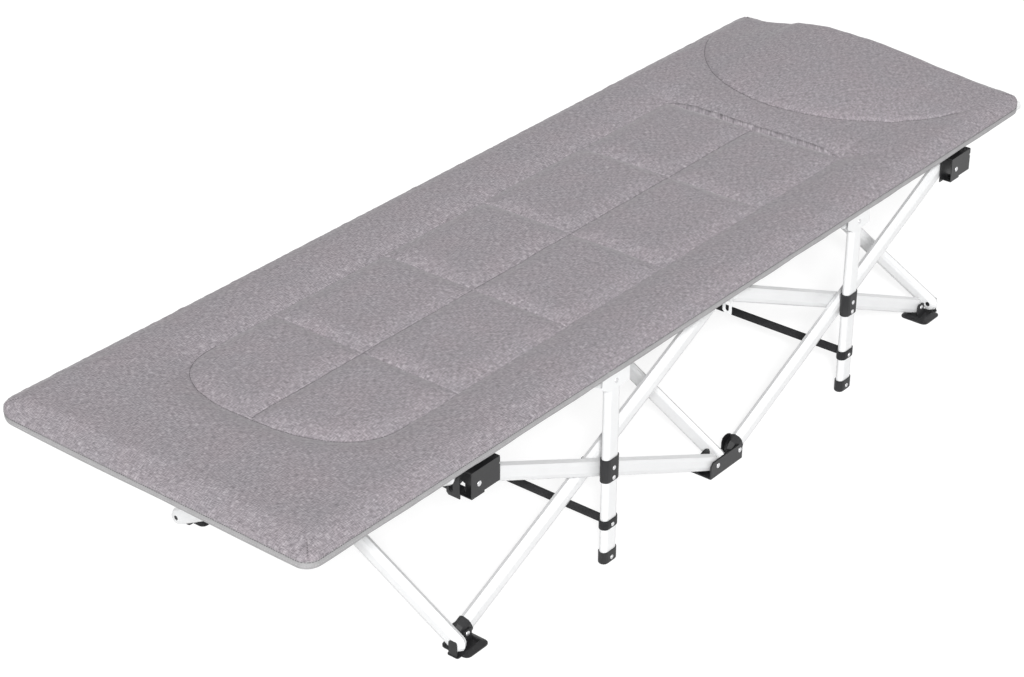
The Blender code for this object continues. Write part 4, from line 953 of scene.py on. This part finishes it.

# %% [markdown]
# The leg straps are flat black webbing, riveted round each leg. As the legs come together the webbing
# between them goes slack, but the loops stay round their legs, so a strap is three pieces: a loop on each
# leg, and a straight run. The loops are swept along the leg's oval outline.

# %% The leg straps
LEG_PLACES = {"foot": -0.2835, "head": 0.3875}
LEG_PLANE = 0.2993
LEG_FLAT, LEG_ROUND = 0.0088, 0.0072
STRAP_LOW, STRAP_HIGH = 0.0630, 0.0790
STRAP_SIDE = [(-0.0008, 0.0012), (-0.0005, 0.0), (0.0005, 0.0), (0.0008, 0.0012)]
STRAP_SIDE += [(0.0008, 0.0148), (0.0005, 0.0160), (-0.0005, 0.0160), (-0.0008, 0.0148)]


def skin(build, rings):
    """Faces between each ring of points and the next."""
    for a, b in zip(rings[:-1], rings[1:]):
        for k in range(len(a)):
            m = (k + 1) % len(a)
            build.faces.new((a[k], a[m], b[m], b[k]))


def webbing_from(name, build, laid):
    bmesh.ops.recalc_face_normals(build, faces=build.faces)
    mesh = bpy.data.meshes.new(name)
    layer = build.loops.layers.uv.new(CLOTH_UV)
    for face in build.faces:
        face.smooth = True
        for loop in face.loops:
            loop[layer].uv = laid(loop.vert.co)
    build.to_mesh(mesh)
    build.free()
    mesh.set_sharp_from_angle(angle=math.radians(40))
    mesh.materials.append(webbing)
    return placed(name, mesh)


def strap_loop(name, x, y):
    """A band 1.3 mm thick round an oval leg."""
    outline = []
    for centre, start in ((LEG_FLAT, -90), (-LEG_FLAT, 90)):
        for turn in range(13):
            angle = math.radians(start + 15 * turn)
            outline.append((centre, math.cos(angle), math.sin(angle)))
    levels = ((STRAP_LOW, 0.0006), (STRAP_LOW, 0.0016), (STRAP_LOW + 0.0012, 0.0019))
    levels += ((STRAP_HIGH - 0.0012, 0.0019), (STRAP_HIGH, 0.0016), (STRAP_HIGH, 0.0006))
    build = bmesh.new()
    rings = []
    for z, grow in levels:
        r = LEG_ROUND + grow
        rings.append([build.verts.new((x + c + ca * r, y + sa * r, z)) for c, ca, sa in outline])
    skin(build, [*rings, rings[0]])
    return webbing_from(name, build, lambda v: (v.y + v.x, v.z))


def strap_run(name, x, reach_y, steps=60):
    """The straight run: flat webbing on edge, with softly rounded edges and a slight bow."""
    build = bmesh.new()
    rings = []
    for k in range(steps + 1):
        y = -reach_y + 2 * reach_y * k / steps
        bow = 0.0020 * (1 - (y / reach_y) ** 2)
        rings.append([build.verts.new((x + a + bow * 0.6, y, STRAP_LOW + z - bow)) for a, z in STRAP_SIDE])
    skin(build, rings)
    build.faces.new(rings[0])
    build.faces.new(rings[-1])
    return webbing_from(name, build, lambda v: (v.y, v.z))


for end, x in LEG_PLACES.items():
    node = end + "_leg_strap"
    run = strap_run(end + "_strap_run", x, LEG_PLANE - 0.0092)
    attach(run, f"left_{end}_leg")
    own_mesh(run)
    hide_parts(node)
    for side, way in (("left", -1), ("right", 1)):
        loop = strap_loop(f"{side}_{end}_strap_loop", x, way * LEG_PLANE)
        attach(loop, f"{side}_{end}_leg")
        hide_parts(node)
print("straps made")

# %% [markdown]
# Rivets hold the brackets, collars, caps and straps together, and stitches hold the cloth. There are
# thousands of them, so one Geometry Nodes tree makes them all: it puts a small shape on each point, turns
# it to the point's own axis and scales it to the point's own size. The result is made real, one mesh for
# each body and kind.

# %% Small shapes on points
def turned_shape(name, profile, sides):
    """A shape turned about the z axis from (radius, height) pairs, with flat ends."""
    build = bmesh.new()
    turns = [2 * math.pi * k / sides for k in range(sides)]
    rings = [[build.verts.new((r * math.cos(t), r * math.sin(t), z)) for t in turns] for r, z in profile]
    skin(build, rings)
    build.faces.new(rings[-1])
    build.faces.new(rings[0][::-1])
    for face in build.faces:
        face.smooth = len(face.verts) == 4
    mesh = bpy.data.meshes.new(name)
    build.to_mesh(mesh)
    build.free()
    return placed(name, mesh)


def scatter_tree():
    tree = bpy.data.node_groups.new("shapes_on_points", "GeometryNodeTree")
    for name, kind in (("Points", "Geometry"), ("Shape", "Object"), ("Material", "Material")):
        tree.interface.new_socket(name, in_out="INPUT", socket_type="NodeSocket" + kind)
    tree.interface.new_socket("Mesh", in_out="OUTPUT", socket_type="NodeSocketGeometry")
    given = put(tree, "NodeGroupInput").outputs
    shape = put(tree, "GeometryNodeObjectInfo", {"Object": given["Shape"]}, transform_space="ORIGINAL")
    axis = put(tree, "GeometryNodeInputNamedAttribute", {"Name": "axis"}, data_type="FLOAT_VECTOR")
    radius = put(tree, "GeometryNodeInputNamedAttribute", {"Name": "radius"}, data_type="FLOAT")
    turned = put(tree, "FunctionNodeAlignRotationToVector", {"Vector": axis.outputs["Attribute"]}, axis="Z")
    copies = put(tree, "GeometryNodeInstanceOnPoints", {
        "Points": given["Points"], "Instance": shape.outputs["Geometry"],
        "Rotation": turned.outputs["Rotation"], "Scale": radius.outputs["Attribute"],
    })
    real = put(tree, "GeometryNodeRealizeInstances", {"Geometry": copies.outputs["Instances"]})
    sockets = {"Geometry": real.outputs[0], "Material": given["Material"]}
    coloured = put(tree, "GeometryNodeSetMaterial", sockets)
    put(tree, "NodeGroupOutput", {"Mesh": coloured.outputs[0]})
    return tree


scatter = scatter_tree()


def scattered(name, points, axes, radii, shape, finish):
    """One mesh with the shape on every point, turned to its axis and scaled to its radius."""
    mesh = mesh_of(name, points)
    columns = (("axis", "FLOAT_VECTOR", "vector", axes), ("radius", "FLOAT", "value", radii))
    for key, kind, field, values in columns:
        made = mesh.attributes.new(key, kind, "POINT")
        made.data.foreach_set(field, np.array(values, np.float32).ravel())
    piece = placed(name, mesh)
    nodes = piece.modifiers.new("copies", "NODES")
    nodes.node_group = scatter
    inputs = {"Shape": shape, "Material": finish}
    for item in scatter.interface.items_tree:
        if item.in_out == "INPUT" and item.name in inputs:
            nodes[item.identifier] = inputs[item.name]
    return applied(piece)


print("the tree for small shapes has", len(scatter.nodes), "nodes")

# %% [markdown]
# The rivets' places repeat the CAD model's, where each one already has a plain black head that these
# cover. They are listed once for one corner, and mirrored in both directions for the others. All of them
# are one low domed head in a few sizes.

# %% Placing the rivets
DOME = [(1.0, -0.05), (1.0, 0.10), (0.95, 0.17), (0.80, 0.24), (0.55, 0.30), (0.28, 0.33)]


def rivet_list():
    found = {}

    def add(body, x, y, z, radius):
        found.setdefault(body, []).append(((x, y, z), (0, math.copysign(1, y), 0), radius))

    for side, sy in (("left", -1), ("right", 1)):
        for u in (-0.031, 0.031):
            add(f"{side}_mid_hub_low", FRAME_X + u, sy * 0.2948, 0.0195, 0.0044)
        for end, sx in (("foot", -1), ("head", 1)):
            corner = f"{side}_{end}"
            leg_x = FRAME_X + sx * 0.3355
            rivet_u, way = (0.6536, -1) if sx * sy > 0 else (0.6550, 1)
            add(f"{corner}_top_bracket", FRAME_X + sx * rivet_u, sy * 0.3081, 0.3014, 0.0044)
            small = FRAME_X + sx * (rivet_u + way * 0.0144)
            add(f"{corner}_top_bracket", small, sy * 0.2932, 0.3195, 0.0040)
            add(f"{corner}_shoe", FRAME_X + sx * 0.640, sy * 0.2737, 0.0195, 0.0044)
            add(f"{corner}_leg", leg_x, sy * 0.3082, 0.0085, 0.0036)
            add(f"{corner}_leg", leg_x, sy * 0.3084, 0.0690, 0.0036)
            add(f"{corner}_leg", leg_x, sy * 0.3082, 0.3235, 0.0042)
            add(f"{corner}_collar", leg_x, sy * 0.3084, 0.1710, 0.0038)
            add(f"{corner}_collar", leg_x, sy * 0.3084, 0.1535, 0.0038)
    return found


dome = turned_shape("rivet_dome", DOME, 20)
rivet_count = 0
for body, places in rivet_list().items():
    made = scattered("rivets_" + body, *zip(*places), dome, zinc)
    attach(made, body)
    rivet_count += len(places)
bpy.data.objects.remove(dome)
print("placed", rivet_count, "rivets")

# %% [markdown]
# The quilt is sewn through with thread, the pad is sewn to the band just under its edge, and the band's
# hem has one more row. The thread of the foot seam, the centre seam, the pillow's crease, the darts and
# the row under the edge is drawn dark, as painted shade for the shadow in those grooves and under the
# edge's bulge; the stitching itself is real. A lockstitch shows as short rods of thread, end to end with
# small gaps.
# Each seam is walked at an even pitch, and every stitch gets its own place and direction. Where they lie
# on the quilt, their height is read from its finished top, so a stitch sits at the bottom of its groove.

# %% Walking a seam
STITCH_ROD = [(0.12, -1.0), (0.28, -0.72), (0.31, 0.0), (0.28, 0.72), (0.12, 1.0)]
STITCH_HALF, STITCH_PITCH = 0.0016, 0.0043


def walked(x, y, pitch):
    """Even places along a line, and the line's direction at each."""
    length = np.concatenate([[0], np.cumsum(np.hypot(np.diff(x), np.diff(y)))])
    at = np.arange(pitch / 2, length[-1], pitch)
    ahead, behind = np.minimum(at + 0.0008, length[-1]), np.maximum(at - 0.0008, 0)
    way = np.stack([np.interp(ahead, length, v) - np.interp(behind, length, v) for v in (x, y)], axis=1)
    way /= np.linalg.norm(way, axis=1, keepdims=True)
    return np.interp(at, length, x), np.interp(at, length, y), way


def painted_shade_seams():
    """The U at the foot, the centre seam, the crease round the pillow and the corner darts, whose dark
    thread is painted shade.
    """
    yield foot_seam_line()
    yield np.array([foot_seam_x(0.0) + 0.004, HEAD_SEAM - 0.004]), np.zeros(2)
    turn = np.linspace(math.radians(112), math.radians(248), 361)
    yield PILLOW_AT[0] + PILLOW_HALF[0] * np.cos(turn), PILLOW_AT[1] + PILLOW_HALF[1] * np.sin(turn)
    inward = np.array([0.005, 0.030])
    for end in (-1, 1):
        for side in (-1, 1):
            yield end * (BED_HALF[0] - inward), side * (BED_HALF[1] - inward)


def quilt_rows():
    """The long sides, the cross seams and the head seam."""
    for side in (-1, 1):
        yield np.array([side_start(side) + 0.002, HEAD_SEAM]), np.full(2, SIDE_SEAM * side)
    for x in (*CROSS_SEAMS, HEAD_SEAM):
        yield np.array([x, x]), np.array([-SIDE_SEAM + 0.004, SIDE_SEAM - 0.004])


def bed_outline(step=0.0008):
    """The bed's rounded outline, anticlockwise from the near foot corner."""
    half_x, half_y = BED_HALF
    along, across = steps_between(-half_x, half_x, step), steps_between(-half_y, half_y, step)
    x = np.concatenate([along, np.full(len(across), half_x), along[::-1], np.full(len(across), -half_x)])
    y = np.concatenate([np.full(len(along), -half_y), across, np.full(len(along), half_y), across[::-1]])
    return round_corners(x, y, BED_HALF)


def row_of(x, y, z, way):
    """A place and a direction for each stitch, in six columns."""
    level = np.zeros(len(x))
    return np.column_stack([x, y, level + z, way, level])


def sewn_through(lines, above):
    rows = []
    for x, y in lines:
        at_x, at_y, way = walked(x, y, STITCH_PITCH)
        up = spread(lines_x, lines_y, high, at_x, at_y)
        rows.append(row_of(*round_corners(at_x, at_y, BED_HALF), up + above, way))
    return rows


def sewn_round(out, z):
    x, y, way = walked(*bed_outline(), STITCH_PITCH)
    return row_of(x + out * way[:, 1], y + out * -way[:, 0], z, way)


# Painted shade: these rows and the row just under the pad's edge take the dark thread, for the shadow in
# the grooves, the crease and under the edge's bulge.
dark = np.concatenate([*sewn_through(painted_shade_seams(), 0.0006), sewn_round(0.0005, PAD_RIM - 0.0009)])
warm = np.concatenate(sewn_through(quilt_rows(), -0.0001))
pale = sewn_round(0.0002, CLOTH_TOP - HEM_DROP + 0.0042)
print("stitches:", len(dark), "dark,", len(warm), "warm grey and", len(pale), "pale")

# %% [markdown]
# The rows are sorted by section, so that they ride and fold with their cloth. A stitch that would lie
# across a cut is left out. The quilt's straight seams have a thread near the colour of the cloth, because
# they show as soft lines in the photograph, while the foot seam and the centre seam are drawn dark. That
# dark thread is painted shade: it stands in for the shadow in their grooves.

# %% Rows of stitches
# The first thread is dark as painted shade, and the other two are the threads' own colours.
THREADS = {
    "dark_grey_thread": ((0.09, 0.083, 0.09), (0.15, 0.14, 0.15)),
    "warm_grey_thread": ((0.16, 0.148, 0.159), (0.22, 0.205, 0.218)),
    "pale_grey_thread": ((0.40, 0.39, 0.40), (0.50, 0.49, 0.50)),
}
BEYOND_END = 0.01
threads = [
    hard_finish(name, (900, 2), [(0.35, dark_side), (0.65, light_side)], (0.0, 0.7))
    for name, (dark_side, light_side) in THREADS.items()
]
rod = turned_shape("stitch_rod", STITCH_ROD, 6)


def in_section(rows, start, stop):
    low = start - BEYOND_END * (start == -BED_HALF[0]) + STITCH_HALF
    top = stop + BEYOND_END * (stop == BED_HALF[0]) - STITCH_HALF
    return rows[(rows[:, 0] > low) & (rows[:, 0] < top)]


kinds = ("dark_stitches_", "quilt_stitches_", "hem_stitches_")
for kind, rows, finish, shown_as in zip(kinds, (dark, warm, pale), threads, ("quilt", "quilt", "band")):
    for place, start, stop, carrier in SECTIONS:
        found = in_section(rows, start, stop)
        sizes = np.full(len(found), STITCH_HALF)
        sewn = scattered(kind + place, found[:, :3].tolist(), found[:, 3:], sizes, rod, finish)
        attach(sewn, carrier)
        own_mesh(sewn)
    print(kind + "pieces made:", len(SECTIONS))
bpy.data.objects.remove(rod)
